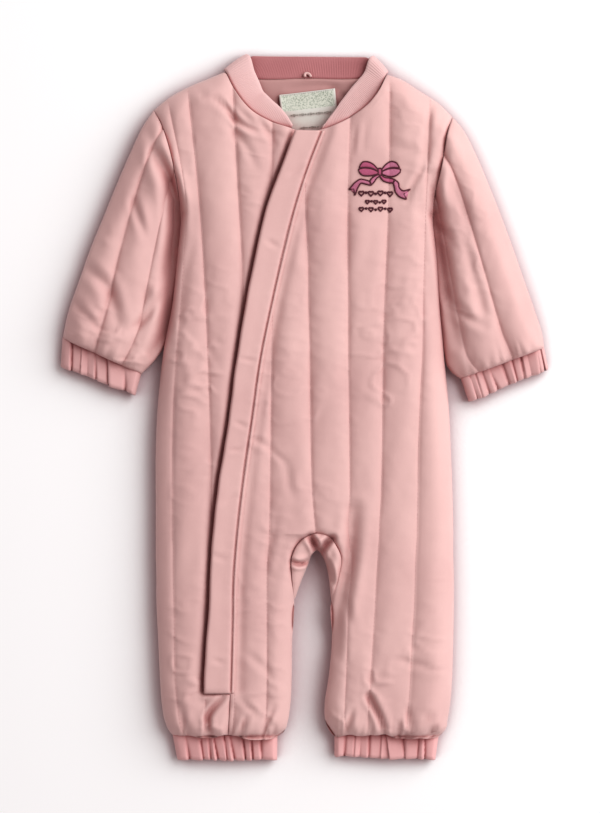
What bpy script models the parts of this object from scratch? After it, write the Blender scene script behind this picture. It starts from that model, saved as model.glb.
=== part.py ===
"""Padded baby snowsuit, size 3 to 6 months, laid flat on its back with its front up.

Blender 4.5, metres, +Z up. The snowsuit lies on z = 0 with its collar towards +Y and its
own left side towards +X. The origin is under the middle of the whole garment.

The tables below are in millimetres, and MM turns them into metres where a mesh is made.
Each panel is a padded wall: an outer face, a lining face and cut edges. The front lies on
the back with its lining nearly touching the back's lining.
"""

import math

import bmesh
import bpy
import numpy as np
from mathutils import Matrix, Vector

MM = 0.001
UPPER_ROWS = (0.2, 0.4, 0.6, 0.8, 0.9, 0.965, 1.0)  # shares of the way from armhole to shoulder
CUTTER_MARGIN = (160.0, -275.0, 300.0)  # side, foot and head of the two fronts' cutters
CUTTER_HEIGHTS = (-5.0, 40.0)

# Thicknesses and heights, in mm.
BODY_CROWN = 26.0  # top of the front over the body
SLEEVE_CROWN = 23.0  # top of a sleeve
SEAM_HEIGHT = 11.5  # side and shoulder seams above the surface
CUFF_SEAM_HEIGHT = 7.5  # the same seams where they reach a cuff
SEAM_EDGE = 2.0  # a padded wall's thickness where it is sewn at the outline
FRONT_ROUNDING = 30.0  # how far in from the outline the front reaches its crown
BACK_ROUNDING = 16.0  # how far in from the outline the back touches the surface
LINING_GAP = 3.5  # between the front's lining and the back's, away from the seams
SEAM_GAP = 0.3  # between two pieces sewn together
QUILT_DROP = 2.4  # depth of a quilting line
QUILT_REACH = 6.0  # how far from its line the drop fades
CUFF_PULL = 0.42  # share of its puff that a panel keeps where a cuff gathers it
CUFF_PULL_REACH = 16.0
CUFF_SLOPE = 45.0  # how far from a cuff its seams' height reaches
LINING_REACH = 20.0  # how far in from the outline the two linings part fully
QUILTED_FROM = 14.0  # how far in from the outline the quilting lines reach their depth
ARM_X = (105.0, 60.0)  # from this far out, over this distance, the crown falls to a sleeve's
SLEEVE_WALL = 4.0  # a sleeve's wall at its two long edges
CUFF_WALL = 3.5
CUFF_HALF = 7.0  # half the thickness of a flattened cuff
CUFF_LINING_GAP = 3.2
CUFF_GATHERS = 20
CUFF_UNEVEN = 0.011  # how far a gather strays along the cuff, as a share of its width
CUFF_ROUNDING = 9.0
CUFF_GATHERS_FROM = 6.0
GUSSET_WALL = 1.0  # least thickness of the gusset between a face and its lining
COLLAR_THICKNESS = 2.4
COLLAR_FOLD = 1.2  # how far the band swells past the shoulder seam where it folds over
COLLAR_SEAM_GAP = 1.0  # from the neckline to the middle of the band's sloping edge
FLAP_THICKNESS = 2.6
FLAP_LIFT = 2.4  # how far the zip flap's free edge stands off the front
FLAP_CLEAR = 0.5  # from the front to the flap where it is sewn
ZIP_HALF = 4.0  # half the width of the zip that lies between the two fronts
ZIP_INSET = 9.0  # from the flap's seam to the middle of the zip

# The front and the back, from the armholes to the crotch. Each row gives its y, then x at the
# right side seam, the eight quilting lines and the left side seam. The legs have a table each.
TORSO_ROWS = (
    (158.0, -101.5, -96.5, -85.0, -53.0, -26.5, 1.0, 35.5, 68.5, 99.0, 105.0),
    (121.0, -104.5, -98.5, -82.5, -51.0, -26.0, 3.0, 35.5, 67.0, 98.0, 108.5),
    (84.5, -108.5, -101.0, -80.5, -50.0, -26.0, 3.5, 36.0, 65.5, 97.0, 110.5),
    (47.5, -115.5, -104.0, -79.0, -50.5, -26.5, 4.5, 36.0, 64.5, 96.5, 114.0),
    (6.5, -120.0, -106.5, -77.5, -52.0, -27.0, 5.0, 36.5, 64.0, 94.5, 118.0),
    (-34.5, -122.0, -107.5, -76.5, -53.0, -27.5, 5.5, 37.0, 63.5, 93.0, 120.0),
    (-75.5, -122.0, -107.5, -76.0, -53.5, -28.0, 7.0, 37.0, 62.5, 92.5, 121.5),
    (-102.5, -122.0, -107.5, -76.0, -53.5, -28.5, 9.5, 36.0, 61.0, 92.0, 122.0),
)
# y, right side seam, r3, r2, r1, l0, then the edge that meets the gusset or the other leg.
RIGHT_LEG_ROWS = (
    (-106.0, -122.0, -107.5, -76.0, -53.5, -28.5, 0.0),
    (-112.5, -122.0, -107.0, -76.0, -53.5, -29.0, -6.5),
    (-121.5, -122.0, -107.0, -76.0, -54.5, -30.0, -10.5),
    (-137.0, -121.5, -107.0, -76.5, -55.0, -30.5, -10.5),
    (-157.5, -121.5, -106.5, -76.5, -55.5, -30.5, -8.5),
    (-190.5, -120.0, -106.0, -77.5, -56.0, -30.5, -10.0),
    (-223.0, -118.5, -105.5, -79.0, -57.0, -30.5, -10.5),
    (-243.5, -117.0, -103.5, -81.0, -57.0, -31.0, -11.5),
    (-256.0, -115.0, -102.0, -81.0, -58.0, -31.5, -13.5),
    (-265.0, -111.5, -99.5, -80.0, -58.5, -33.0, -16.5),
    (-269.0, -108.5, -97.0, -79.0, -59.5, -35.0, -22.0),
)
# y, the edge that meets the gusset or the other leg, l2, l3, l4, left side seam.
LEFT_LEG_ROWS = (
    (-106.0, 21.5, 36.5, 61.0, 92.0, 122.0),
    (-112.5, 26.0, 37.0, 60.5, 91.5, 122.0),
    (-121.5, 30.0, 38.5, 60.0, 91.0, 122.0),
    (-137.0, 28.5, 38.0, 59.0, 90.5, 122.5),
    (-157.5, 22.0, 36.0, 58.0, 90.0, 122.5),
    (-190.5, 22.5, 35.0, 56.0, 88.0, 122.0),
    (-223.0, 19.5, 34.0, 54.0, 86.5, 121.0),
    (-243.5, 16.5, 33.0, 52.5, 85.0, 119.5),
    (-256.0, 17.0, 33.0, 52.0, 84.0, 117.5),
    (-265.0, 21.0, 35.0, 53.0, 83.0, 115.0),
    (-269.0, 24.5, 37.0, 54.0, 82.5, 110.5),
)
# Where each line of TORSO_ROWS ends on the shoulder, armhole or neckline.
TOP_X = (-123.5, -112.0, -95.5, -58.5, -26.0, 2.0, 37.5, 70.0, 103.0, 121.0)
RIGHT_ARMHOLE = (
    (-101.5, 158.0),
    (-103.5, 178.5),
    (-107.0, 198.0),
    (-112.0, 218.0),
    (-117.0, 232.0),
    (-123.5, 244.0),
)
LEFT_ARMHOLE = (
    (105.0, 158.0),
    (106.5, 174.5),
    (110.5, 191.0),
    (114.0, 209.0),
    (117.0, 226.0),
    (121.0, 238.5),
)
RIGHT_SHOULDER = ((-123.5, 244.0), (-110.5, 254.5), (-94.0, 263.5), (-76.0, 271.0), (-65.0, 275.5))
LEFT_SHOULDER = ((67.5, 273.5), (78.5, 269.5), (94.5, 259.5), (111.0, 248.5), (121.0, 238.5))
# The two necklines have a corner at each line of the panels that ends on them.
FRONT_NECKLINE = (
    (-65.0, 275.5),
    (-58.5, 262.0),
    (-42.25, 241.8),
    (-26.0, 233.0),
    (-12.0, 228.5),
    (2.0, 226.0),
    (5.5, 225.9),
    (19.75, 228.8),
    (37.5, 237.2),
    (53.75, 249.5),
    (61.9, 260.8),
    (67.5, 273.5),
)
BACK_NECKLINE = (
    (-65.0, 275.5),
    (-58.5, 272.6),
    (-42.25, 269.7),
    (2.0, 270.0),
    (37.5, 269.5),
    (57.0, 271.0),
    (67.5, 273.5),
)
# The inner legs and the crotch, from the right ankle over the crotch to the left ankle.
INNER_LEGS = (
    (-22.0, -269.0),
    (-16.5, -265.0),
    (-11.5, -243.5),
    (-10.5, -223.0),
    (-10.0, -190.5),
    (-8.0, -157.5),
    (-2.0, -141.0),
    (3.0, -129.0),
    (6.5, -120.0),
    (10.5, -117.0),
    (14.5, -121.5),
    (18.0, -130.0),
    (20.5, -145.0),
    (21.8, -157.5),
    (22.5, -190.5),
    (19.5, -223.0),
    (16.5, -243.5),
    (17.0, -256.0),
    (24.5, -269.0),
)

# Sleeves, named by the wearer's side: outline from armhole to cuff, the cuff's hem, then lines
# along the sleeve. Each gives its place from the underarm edge (0) to the outer edge (1) at the
# armhole and at the cuff, and 1 where it is a quilting line.
RIGHT_SLEEVE = {
    "outer": (
        (-123.5, 244.0),
        (-133.0, 230.0),
        (-143.0, 209.0),
        (-154.0, 183.5),
        (-165.0, 156.5),
        (-176.0, 129.5),
        (-185.5, 102.5),
        (-194.0, 78.5),
        (-199.0, 57.0),
    ),
    "inner": (
        (-101.5, 158.0),
        (-103.6, 146.0),
        (-105.0, 129.5),
        (-108.4, 96.5),
        (-113.0, 66.0),
        (-116.2, 52.5),
        (-123.0, 39.5),
        (-134.0, 27.5),
    ),
    "hem": ((-139.0, 10.5), (-200.5, 34.0)),
    "columns": (
        (0.0, 0.0, 0.0),
        (0.05, 0.05, 0.0),
        (0.2, 0.13, 0.0),
        (0.4, 0.24, 1.0),
        (0.6, 0.42, 0.0),
        (0.8, 0.58, 1.0),
        (0.9, 0.78, 0.0),
        (0.97, 0.94, 0.0),
        (1.0, 1.0, 0.0),
    ),
}
LEFT_SLEEVE = {
    "outer": (
        (121.0, 238.5),
        (129.0, 229.5),
        (140.0, 209.0),
        (150.5, 184.5),
        (161.0, 158.0),
        (171.0, 131.0),
        (180.0, 105.0),
        (189.0, 79.5),
        (195.5, 59.5),
        (197.0, 49.0),
    ),
    "inner": (
        (105.0, 158.0),
        (107.6, 144.0),
        (109.0, 129.5),
        (111.0, 96.5),
        (113.8, 62.0),
        (116.0, 43.0),
        (118.0, 34.5),
        (122.0, 28.5),
        (128.5, 23.5),
    ),
    "hem": ((135.0, 4.5), (200.5, 32.0)),
    "columns": (
        (0.0, 0.0, 0.0),
        (0.05, 0.06, 0.0),
        (0.2, 0.22, 1.0),
        (0.4, 0.44, 0.0),
        (0.6, 0.62, 1.0),
        (0.8, 0.8, 0.0),
        (0.95, 0.94, 0.0),
        (1.0, 1.0, 0.0),
    ),
}
# Ankle cuffs: seam from the leg's right to its left, then hem.
ANKLES = {
    "right": ((-108.5, -269.0), (-22.0, -269.0), (-104.5, -289.0), (-22.5, -289.0)),
    "left": ((24.5, -269.0), (110.5, -269.0), (24.5, -286.0), (107.5, -289.0)),
}

# The zip: y, then x at the flap's seam and at its free edge.
ZIP_ROWS = (
    (225.0, 13.0, -7.5),
    (200.0, 3.3, -17.0),
    (167.0, -7.5, -29.0),
    (126.0, -18.0, -39.0),
    (86.5, -27.0, -46.5),
    (40.0, -36.5, -54.5),
    (-10.0, -43.6, -61.0),
    (-62.5, -51.0, -69.5),
    (-97.0, -55.0, -73.5),
    (-143.0, -58.5, -76.5),
    (-174.0, -59.0, -78.0),
    (-207.0, -59.8, -80.0),
    (-233.0, -60.5, -81.5),
)
CLOSED_FRONT_SEAM = ((-60.7, -233.0), (-63.0, -275.0))  # below the zip, where the fronts are sewn

# The rib collar, right round from its right front end: the neckline that it is sewn to, how far
# along that line, the seam's height, then x, y, z of the free edge.
COLLAR_ROWS = (
    ("front", 0.435, 21.5, -10.0, 231.0, 21.0),
    ("front", 0.385, 21.5, -15.0, 239.0, 19.5),
    ("front", 0.335, 21.5, -21.0, 246.0, 18.5),
    ("front", 0.285, 21.5, -26.5, 251.0, 17.5),
    ("front", 0.235, 21.0, -31.0, 255.5, 16.5),
    ("front", 0.17, 20.0, -34.5, 259.5, 15.5),
    ("front", 0.11, 18.5, -37.5, 267.0, 14.5),
    ("front", 0.055, 16.5, -41.5, 276.0, 13.5),
    ("front", 0.0, 13.8, -46.0, 289.0, 11.8),
    ("right_fold", 0.0, 11.6, -48.0, 290.0, 9.0),
    ("back", 0.0, 9.4, -46.0, 289.0, 6.2),
    ("back", 0.09, 9.8, -41.5, 289.0, 5.2),
    ("back", 0.2, 10.2, -33.0, 288.8, 4.8),
    ("back", 0.35, 10.4, -15.0, 288.6, 4.6),
    ("back", 0.5, 10.4, 3.5, 288.5, 4.6),
    ("back", 0.65, 10.4, 22.0, 288.3, 4.6),
    ("back", 0.8, 10.2, 40.0, 288.1, 4.8),
    ("back", 0.91, 9.8, 49.5, 288.0, 5.2),
    ("back", 1.0, 9.4, 54.5, 287.6, 6.2),
    ("left_fold", 1.0, 11.6, 56.5, 288.6, 9.0),
    ("front", 1.0, 13.8, 54.5, 287.6, 11.8),
    ("front", 0.945, 16.5, 49.5, 275.0, 13.5),
    ("front", 0.89, 18.5, 44.0, 268.0, 14.5),
    ("front", 0.83, 20.0, 38.5, 261.5, 15.5),
    ("front", 0.77, 21.0, 34.0, 255.5, 16.5),
    ("front", 0.72, 21.5, 29.5, 249.5, 17.5),
    ("front", 0.67, 21.5, 25.5, 243.5, 18.5),
    ("front", 0.62, 21.5, 20.5, 237.0, 19.5),
    ("front", 0.57, 21.5, 16.5, 231.5, 21.0),
)

SLIDER_AT = 205.0  # y of the closed zip's slider, under the flap
SLIDER_SIZE = (6.8, 9.0, 4.0)
PULL_TAB_SIZE = (3.6, 17.0, 1.1)
SLIDER_ROUNDING = 0.7
SLIDER_DROP = 5.9  # from the front's face down to the underside of the slider

LABEL_CORNERS = ((-21.0, 256.5), (25.0, 262.0), (29.0, 224.0), (-17.0, 218.5))
LABEL_THICKNESS = 0.8
LOOP_FEET = ((-1.5, 271.5), (7.0, 271.0))  # the hanger loop's two ends at the back neck seam
LOOP_REACH = 5.0
LOOP_HEIGHT = 12.6  # of its feet, in the seam
LOOP_DROP = 1.2  # how far its bend lies below its feet
LOOP_RADIUS = 0.7

# Colours: linear RGB, roughness.
SHELL = ((0.74, 0.42, 0.41), 0.85)
RIB = ((0.66, 0.33, 0.34), 0.92)
LABEL = ((0.80, 0.80, 0.72), 0.70)
ZIP_TAPE = ((0.62, 0.30, 0.32), 0.60)
SLIDER = ((0.62, 0.30, 0.32), 0.40)


def clear_scene():
    for obj in list(bpy.data.objects):
        bpy.data.objects.remove(obj)


def new_collection(name):
    collection = bpy.data.collections.new(name)
    bpy.context.scene.collection.children.link(collection)
    return collection


def material(name, look):
    colour, roughness = look
    made = bpy.data.materials.new(name)
    made.use_nodes = True
    shader = made.node_tree.nodes["Principled BSDF"]
    shader.inputs["Base Color"].default_value = (*colour, 1)
    shader.inputs["Roughness"].default_value = roughness
    return made


# Outlines and distances, in mm.


def along(points, share):
    """The point at this share of a line's length, from 0 to 1."""
    points = np.array(points, float)
    steps = np.linalg.norm(np.diff(points, axis=0), axis=1)
    reached = np.concatenate([[0], np.cumsum(steps)]) / steps.sum()
    return np.array([np.interp(share, reached, points[:, k]) for k in range(points.shape[1])])


def by_corner(points, share):
    """The point this share of the way through a line's corners, whatever their spacing."""
    corners = np.array(points, float)
    at = share * (len(corners) - 1)
    return np.array([np.interp(at, range(len(corners)), axis) for axis in corners.T])


def distance_to(points, line):
    """The plan distance from each point to a line of straight runs."""
    points = np.asarray(points, float)
    best = np.full(len(points), np.inf)
    for start, end in zip(np.array(line[:-1], float), np.array(line[1:], float)):
        run = end - start
        share = np.clip((points - start) @ run / (run @ run), 0, 1)
        best = np.minimum(best, np.linalg.norm(points - start - share[:, None] * run, axis=1))
    return best


def side_seam(column):
    """The outline of the body at one side, from the armhole to the ankle."""
    legs = RIGHT_LEG_ROWS if column == 1 else LEFT_LEG_ROWS
    return [(row[column], row[0]) for row in TORSO_ROWS] + [(row[column], row[0]) for row in legs]


OUTLINE = (
    side_seam(1),
    side_seam(-1),
    RIGHT_SHOULDER,
    LEFT_SHOULDER,
    INNER_LEGS,
    RIGHT_SLEEVE["outer"],
    RIGHT_SLEEVE["inner"],
    LEFT_SLEEVE["outer"],
    LEFT_SLEEVE["inner"],
)
CUFF_SEAMS = (
    (RIGHT_SLEEVE["inner"][-1], RIGHT_SLEEVE["outer"][-1]),
    (LEFT_SLEEVE["inner"][-1], LEFT_SLEEVE["outer"][-1]),
    ANKLES["right"][:2],
    ANKLES["left"][:2],
)


def rounded(share):
    """Rises from 0 to 1 like the side of a cushion."""
    return (1 - (1 - np.clip(share, 0, 1)) ** 2.3) ** (1 / 2.3)


def eased(share):
    share = np.clip(share, 0, 1)
    return share * share * (3 - 2 * share)


def from_outline(points):
    return np.min([distance_to(points, line) for line in OUTLINE], axis=0)


def from_cuffs(points):
    return np.min([distance_to(points, line) for line in CUFF_SEAMS], axis=0)


def seam_height(points):
    return CUFF_SEAM_HEIGHT + (SEAM_HEIGHT - CUFF_SEAM_HEIGHT) * eased(from_cuffs(points) / CUFF_SLOPE)


def front_face(points, quilting=0.0):
    """Height of the garment's upper face, lowered by a share of the quilting drop."""
    points = np.asarray(points, float)
    inside = from_outline(points)
    beyond_body = np.clip((np.abs(points[:, 0]) - ARM_X[0]) / ARM_X[1], 0, 1)
    crown = BODY_CROWN - (BODY_CROWN - SLEEVE_CROWN) * beyond_body
    base = seam_height(points) + SEAM_EDGE
    pull = CUFF_PULL + (1 - CUFF_PULL) * rounded(from_cuffs(points) / CUFF_PULL_REACH)
    puff = (crown - base) * rounded(inside / FRONT_ROUNDING) * pull
    return base + puff - QUILT_DROP * quilting * eased(inside / QUILTED_FROM)


def front_lining(points):
    spread = eased(from_outline(points) / LINING_REACH)
    return seam_height(points) + SEAM_GAP / 2 + (LINING_GAP - SEAM_GAP) / 2 * spread


def back_lining(points):
    inside = np.minimum(from_outline(points), distance_to(points, BACK_NECKLINE))
    spread = eased(inside / LINING_REACH)
    return seam_height(points) - SEAM_GAP / 2 - (LINING_GAP - SEAM_GAP) / 2 * spread


def back_face(points):
    """Height of the underside, which is flat on the surface away from the outline."""
    inside = np.minimum(from_outline(points), distance_to(points, BACK_NECKLINE))
    return (seam_height(points) - SEAM_EDGE) * (1 - rounded(inside / BACK_ROUNDING))


# Meshes.


def finished(mesh_builder, name, collection, look):
    """Turns a bmesh in mm into an object in metres, with its faces pointing out."""
    bmesh.ops.recalc_face_normals(mesh_builder, faces=mesh_builder.faces)
    bmesh.ops.scale(mesh_builder, vec=(MM, MM, MM), verts=mesh_builder.verts)
    mesh = bpy.data.meshes.new(name)
    mesh_builder.to_mesh(mesh)
    mesh_builder.free()
    mesh.materials.append(look)
    mesh.shade_smooth()
    mesh.set_sharp_from_angle(angle=math.radians(50))
    obj = bpy.data.objects.new(name, mesh)
    collection.objects.link(obj)
    return obj


def slab(name, plan, quads, top, bottom, collection, look):
    """A wall between two heights over the same plan points, closed all round its edge."""
    builder = bmesh.new()
    upper = [builder.verts.new((x, y, z)) for (x, y), z in zip(plan, top)]
    lower = [builder.verts.new((x, y, z)) for (x, y), z in zip(plan, bottom)]
    edges = set()
    for quad in quads:
        builder.faces.new([upper[i] for i in quad])
        builder.faces.new([lower[i] for i in reversed(quad)])
        edges |= set(zip(quad, quad[1:] + quad[:1]))
    for a, b in edges:
        if (b, a) not in edges:
            builder.faces.new((upper[b], upper[a], lower[a], lower[b]))
    return finished(builder, name, collection, look)


def loft(name, sections, collection, look):
    """A solid through closed sections of equal point counts, capped at both ends."""
    builder = bmesh.new()
    loops = [[builder.verts.new(point) for point in section] for section in sections]
    count = len(loops[0])
    for near, far in zip(loops, loops[1:]):
        for i in range(count):
            j = (i + 1) % count
            builder.faces.new((near[i], near[j], far[j], far[i]))
    builder.faces.new(list(reversed(loops[0])))
    builder.faces.new(loops[-1])
    return finished(builder, name, collection, look)


def tube(name, outer, inner, collection, look):
    """A wall between an outer and an inner surface, each through closed rings, open at both ends."""
    builder = bmesh.new()
    outside = [[builder.verts.new(point) for point in ring] for ring in outer]
    inside = [[builder.verts.new(point) for point in ring] for ring in inner]
    count = len(outside[0])
    for i in range(count):
        j = (i + 1) % count
        for near, far in zip(outside, outside[1:]):
            builder.faces.new((near[i], near[j], far[j], far[i]))
        for near, far in zip(inside, inside[1:]):
            builder.faces.new((near[i], far[i], far[j], near[j]))
        for ring in (0, -1):
            builder.faces.new((outside[ring][i], outside[ring][j], inside[ring][j], inside[ring][i]))
    return finished(builder, name, collection, look)


# Front and back.


def spread_columns(values, fractions):
    """The main lines of a row with the extra lines between them, and each one's nearest share."""
    out = []
    for k, between in enumerate(fractions):
        out.append(values[k])
        out += [values[k] + (values[k + 1] - values[k]) * share for share in between]
    out.append(values[-1])
    return out


def quilting_shares(row, fractions, sewn):
    """How much of the quilting drop each column of a row takes: 1 on a quilting line."""
    columns = np.array(spread_columns(list(row), fractions))
    lines = np.array([x for x, is_sewn in zip(row, sewn) if is_sewn])
    gaps = np.abs(columns[:, None] - lines[None, :]).min(axis=1)
    return np.exp(-((gaps / QUILT_REACH) ** 1.5))


def upper_rows(fractions, heights, neckline):
    """The rows from the armholes up to the shoulders and the neckline."""
    outline = np.array(RIGHT_SHOULDER[:-1] + tuple(neckline) + LEFT_SHOULDER[1:])
    top_x = np.array(spread_columns(list(TOP_X), fractions))
    top_y = np.interp(top_x, outline[:, 0], outline[:, 1])
    low_x = np.array(spread_columns(list(TORSO_ROWS[0][1:]), fractions))
    low_y = np.full(len(low_x), TORSO_ROWS[0][0])
    sides = np.array(spread_columns([-1.0] + [0.0] * 8 + [1.0], fractions))
    rows = []
    for share in heights:
        x = low_x + (top_x - low_x) * share
        y = low_y + (top_y - low_y) * share
        for sign, armhole in ((-1, RIGHT_ARMHOLE), (1, LEFT_ARMHOLE)):
            column = 0 if sign < 0 else -1
            bend = by_corner(armhole, share) - (x[column], y[column])
            weight = np.clip(sign * sides, 0, 1)
            x = x + bend[0] * weight
            y = y + bend[1] * weight
        rows.append(list(zip(x, y)))
    return rows


def body_plan(fractions, heights, neckline):
    """Plan points, quads and quilting shares of a whole front or back with its two legs."""
    halves = (fractions[:5], fractions[5:])  # the columns that run on into each leg
    sewn = [False] + [True] * 8 + [False]
    torso = []
    shares = []
    for row in reversed(upper_rows(fractions, heights, neckline)):
        torso.append(row)
        shares.append(quilting_shares(TORSO_ROWS[0][1:], fractions, sewn))
    for y, *lines in TORSO_ROWS:
        torso.append([(x, y) for x in spread_columns(lines, fractions)])
        shares.append(quilting_shares(lines, fractions, sewn))
    width = len(torso[0])
    split = len(spread_columns(TORSO_ROWS[0][1:7], halves[0])) - 1
    points = [point for row in torso for point in row]
    quilting = [share for row in shares for share in row]
    quads = []
    for r in range(len(torso) - 1):
        for c in range(width - 1):
            a = r * width + c
            quads.append((a + width, a + width + 1, a + 1, a))
    last = (len(torso) - 1) * width
    legs = (
        (RIGHT_LEG_ROWS, halves[0], last, [False, True, True, True, True, False]),
        (LEFT_LEG_ROWS, halves[1], last + split, [False, True, True, True, False]),
    )
    for rows, part, above, sewn in legs:
        count = len(spread_columns(rows[0][1:], part))
        for y, *lines in rows:
            start = len(points)
            points += [(x, y) for x in spread_columns(lines, part)]
            quilting += list(quilting_shares(lines, part, sewn))
            for c in range(count - 1):
                quads.append((start + c, start + c + 1, above + c + 1, above + c))
            above = start
    return np.array(points), quads, np.array(quilting)


FRONT_FRACTIONS = (
    (0.15, 0.5),
    (0.5,),
    (0.4, 0.825),
    (0.5,),
    (0.5, 0.88),
    (0.1, 0.5),
    (0.5, 0.75, 0.925),
    (0.5,),
    (0.4, 0.75, 0.94),
)
BACK_FRACTIONS = ((0.3,), (), (0.825,), (0.5,), (0.5, 0.85), (0.15,), (0.6, 0.925), (), (0.5, 0.9))


def prism(name, outline, low, high, collection):
    """A cutter: an upright block with this plan."""
    builder = bmesh.new()
    face = builder.faces.new([builder.verts.new((x, y, low)) for x, y in outline])
    raised = bmesh.ops.extrude_face_region(builder, geom=[face])
    tops = [item for item in raised["geom"] if isinstance(item, bmesh.types.BMVert)]
    bmesh.ops.translate(builder, verts=tops, vec=(0, 0, high - low))
    cutter = finished(builder, name, collection, material(name, SHELL))
    cutter.hide_render = True
    cutter.display_type = "WIRE"
    return cutter


def zip_line(offset):
    """The line beside the zip, from its top down to the ankle, this far from the flap's seam."""
    line = [(seam + offset, y) for y, seam, _ in ZIP_ROWS]
    beyond = 2 * np.array(line[0]) - np.array(line[1])
    return [tuple(beyond)] + line[1:]


def fronts(collection, cutters, look):
    """The two fronts: one padded sheet with its legs, parted along the slanting zip."""
    points, quads, quilting = body_plan(FRONT_FRACTIONS, UPPER_ROWS, FRONT_NECKLINE)
    top = front_face(points, quilting)
    bottom = front_lining(points)
    beside_left = zip_line(ZIP_HALF + 2 * SEAM_GAP - ZIP_INSET)
    beside_right = zip_line(-ZIP_HALF - 2 * SEAM_GAP - ZIP_INSET)
    seam = CLOSED_FRONT_SEAM
    side, foot, head = CUTTER_MARGIN
    outlines = {
        "front_left": beside_left
        + [(x + SEAM_GAP / 2, y) for x, y in seam]
        + [(side, foot), (side, head), (beside_left[0][0], head)],
        "front_right": beside_right
        + [(x - SEAM_GAP / 2, y - 2 * SEAM_GAP) for x, y in seam]
        + [(-side, foot), (-side, head), (beside_right[0][0], head)],
    }
    for name, outline in outlines.items():
        panel = slab(name, points, quads, top, bottom, collection, look)
        cutter = prism(name + "_cutter", outline, *CUTTER_HEIGHTS, cutters)
        keep = panel.modifiers.new("beside_zip", "BOOLEAN")
        keep.operation = "INTERSECT"
        keep.object = cutter


def back(collection, look):
    points, quads, _ = body_plan(BACK_FRACTIONS, UPPER_ROWS, BACK_NECKLINE)
    return slab("back", points, quads, back_lining(points), back_face(points), collection, look)


# Sleeves, cuffs and gusset: flattened tubes over a plan patch.


def patch(side_a, side_b, start, end, across, lengths):
    """Plan points between four lines: across[k][i] of the way from side_a to side_b, at each length.

    The first row's shares count the corners of the start line.
    """
    rows = []
    corners = [np.array(p, float) for p in (start[0], start[-1], end[0], end[-1])]
    for shares, length in zip(across, lengths):
        a = along(side_a, length)
        b = along(side_b, length)
        row = []
        for share, begin in zip(shares, across[0]):
            ruled = a + (b - a) * share
            ends = by_corner(start, begin) * (1 - length) + along(end, share) * length
            flat = (corners[0] * (1 - share) + corners[1] * share) * (1 - length)
            flat = flat + (corners[2] * (1 - share) + corners[3] * share) * length
            row.append(ruled + ends - flat)
        rows.append(np.array(row))
    return rows


def inset_shares(shares, width, wall):
    """The same shares drawn in from both edges by the wall's thickness."""
    margin = wall / width
    return [margin + share * (1 - 2 * margin) for share in shares]


def sleeve(name, cut, armhole, sign, collection, look):
    """One sleeve, a padded tube pressed flat, with its armhole edge along the body's."""
    lengths = (0.0, 0.1, 0.25, 0.4, 0.55, 0.7, 0.82, 0.91, 0.97, 1.0)
    across = []
    quilting = []
    for length in lengths:
        row = [at_armhole + (at_cuff - at_armhole) * length for at_armhole, at_cuff, _ in cut["columns"]]
        across.append(row)
        quilting.append(np.array([sewn for _, _, sewn in cut["columns"]]))
    start = [(x + sign * SEAM_GAP * 1.1, y) for x, y in armhole]
    inner = [start[0]] + list(cut["inner"][1:])
    outer = [start[-1]] + list(cut["outer"][1:])
    end = (cut["inner"][-1], cut["outer"][-1])
    plans = patch(inner, outer, start, end, across, lengths)
    width = np.linalg.norm(np.subtract(*end))
    drawn_in = [inset_shares(row, width, SLEEVE_WALL) for row in across]
    linings = patch(inner, outer, start, end, drawn_in, lengths)
    outside = []
    inside = []
    for plan, lining, drop in zip(plans, linings, quilting):
        level = seam_height(plan)
        upper = front_face(plan, drop)
        lower = back_face(plan)
        upper[[0, -1]] = level[[0, -1]]
        outside.append(
            [(*p, z) for p, z in zip(plan, upper)] + [(*p, z) for p, z in zip(plan, lower)][-2:0:-1]
        )
        ceiling = front_lining(lining)
        floor = back_lining(lining)
        ceiling[[0, -1]] = seam_height(lining)[[0, -1]]
        inside.append(
            [(*p, z) for p, z in zip(lining, ceiling)] + [(*p, z) for p, z in zip(lining, floor)][-2:0:-1]
        )
    return tube(name, outside, inside, collection, look)


def cuff(name, seam, hem, collection, look):
    """An elastic cuff pressed flat, with its gathers across the upper face."""
    seam = np.array(seam, float)
    hem = np.array(hem, float)
    out = hem.mean(axis=0) - seam.mean(axis=0)
    seam = seam + out / np.linalg.norm(out) * SEAM_GAP
    uneven = [0.0]
    folds = [0.0]
    for i in range(1, CUFF_GATHERS):
        uneven.append(i / CUFF_GATHERS + CUFF_UNEVEN * math.sin(5.3 * i))
        folds.append((-1.0 if i % 2 else 0.6) * (0.7 + 0.3 * math.sin(3.1 * i)))
    uneven.append(1.0)
    folds.append(0.0)
    width = np.linalg.norm(seam[1] - seam[0])
    outside = []
    inside = []
    for length, swell, ripple in ((0.0, 0.92, 1.0), (0.5, 1.0, 0.8), (1.0, 0.86, 1.1)):
        ends = seam + (hem - seam) * length
        plan = np.array([ends[0] + (ends[1] - ends[0]) * share for share in uneven])
        near_edge = np.minimum(uneven, 1 - np.array(uneven)) * width
        puff = CUFF_HALF * swell * rounded(near_edge / CUFF_ROUNDING)
        fade = eased(near_edge / CUFF_GATHERS_FROM)
        upper = CUFF_SEAM_HEIGHT + puff + np.array(folds) * ripple * fade
        lower = CUFF_SEAM_HEIGHT - CUFF_SEAM_HEIGHT * rounded(near_edge / CUFF_ROUNDING)
        ring = [(*p, z) for p, z in zip(plan, upper)]
        under = [(*p, z) for p, z in zip(plan, lower)][-2:0:-1]
        outside.append(ring + under)
        drawn = inset_shares(uneven, width, CUFF_WALL)
        core = np.array([ends[0] + (ends[1] - ends[0]) * share for share in drawn])
        slack = CUFF_LINING_GAP / 2 * fade
        ceiling = [(*p, CUFF_SEAM_HEIGHT + z) for p, z in zip(core, slack)]
        floor = [(*p, CUFF_SEAM_HEIGHT - z) for p, z in zip(core, slack)][-2:0:-1]
        inside.append(ceiling + floor)
    return tube(name, outside, inside, collection, look)


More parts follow.
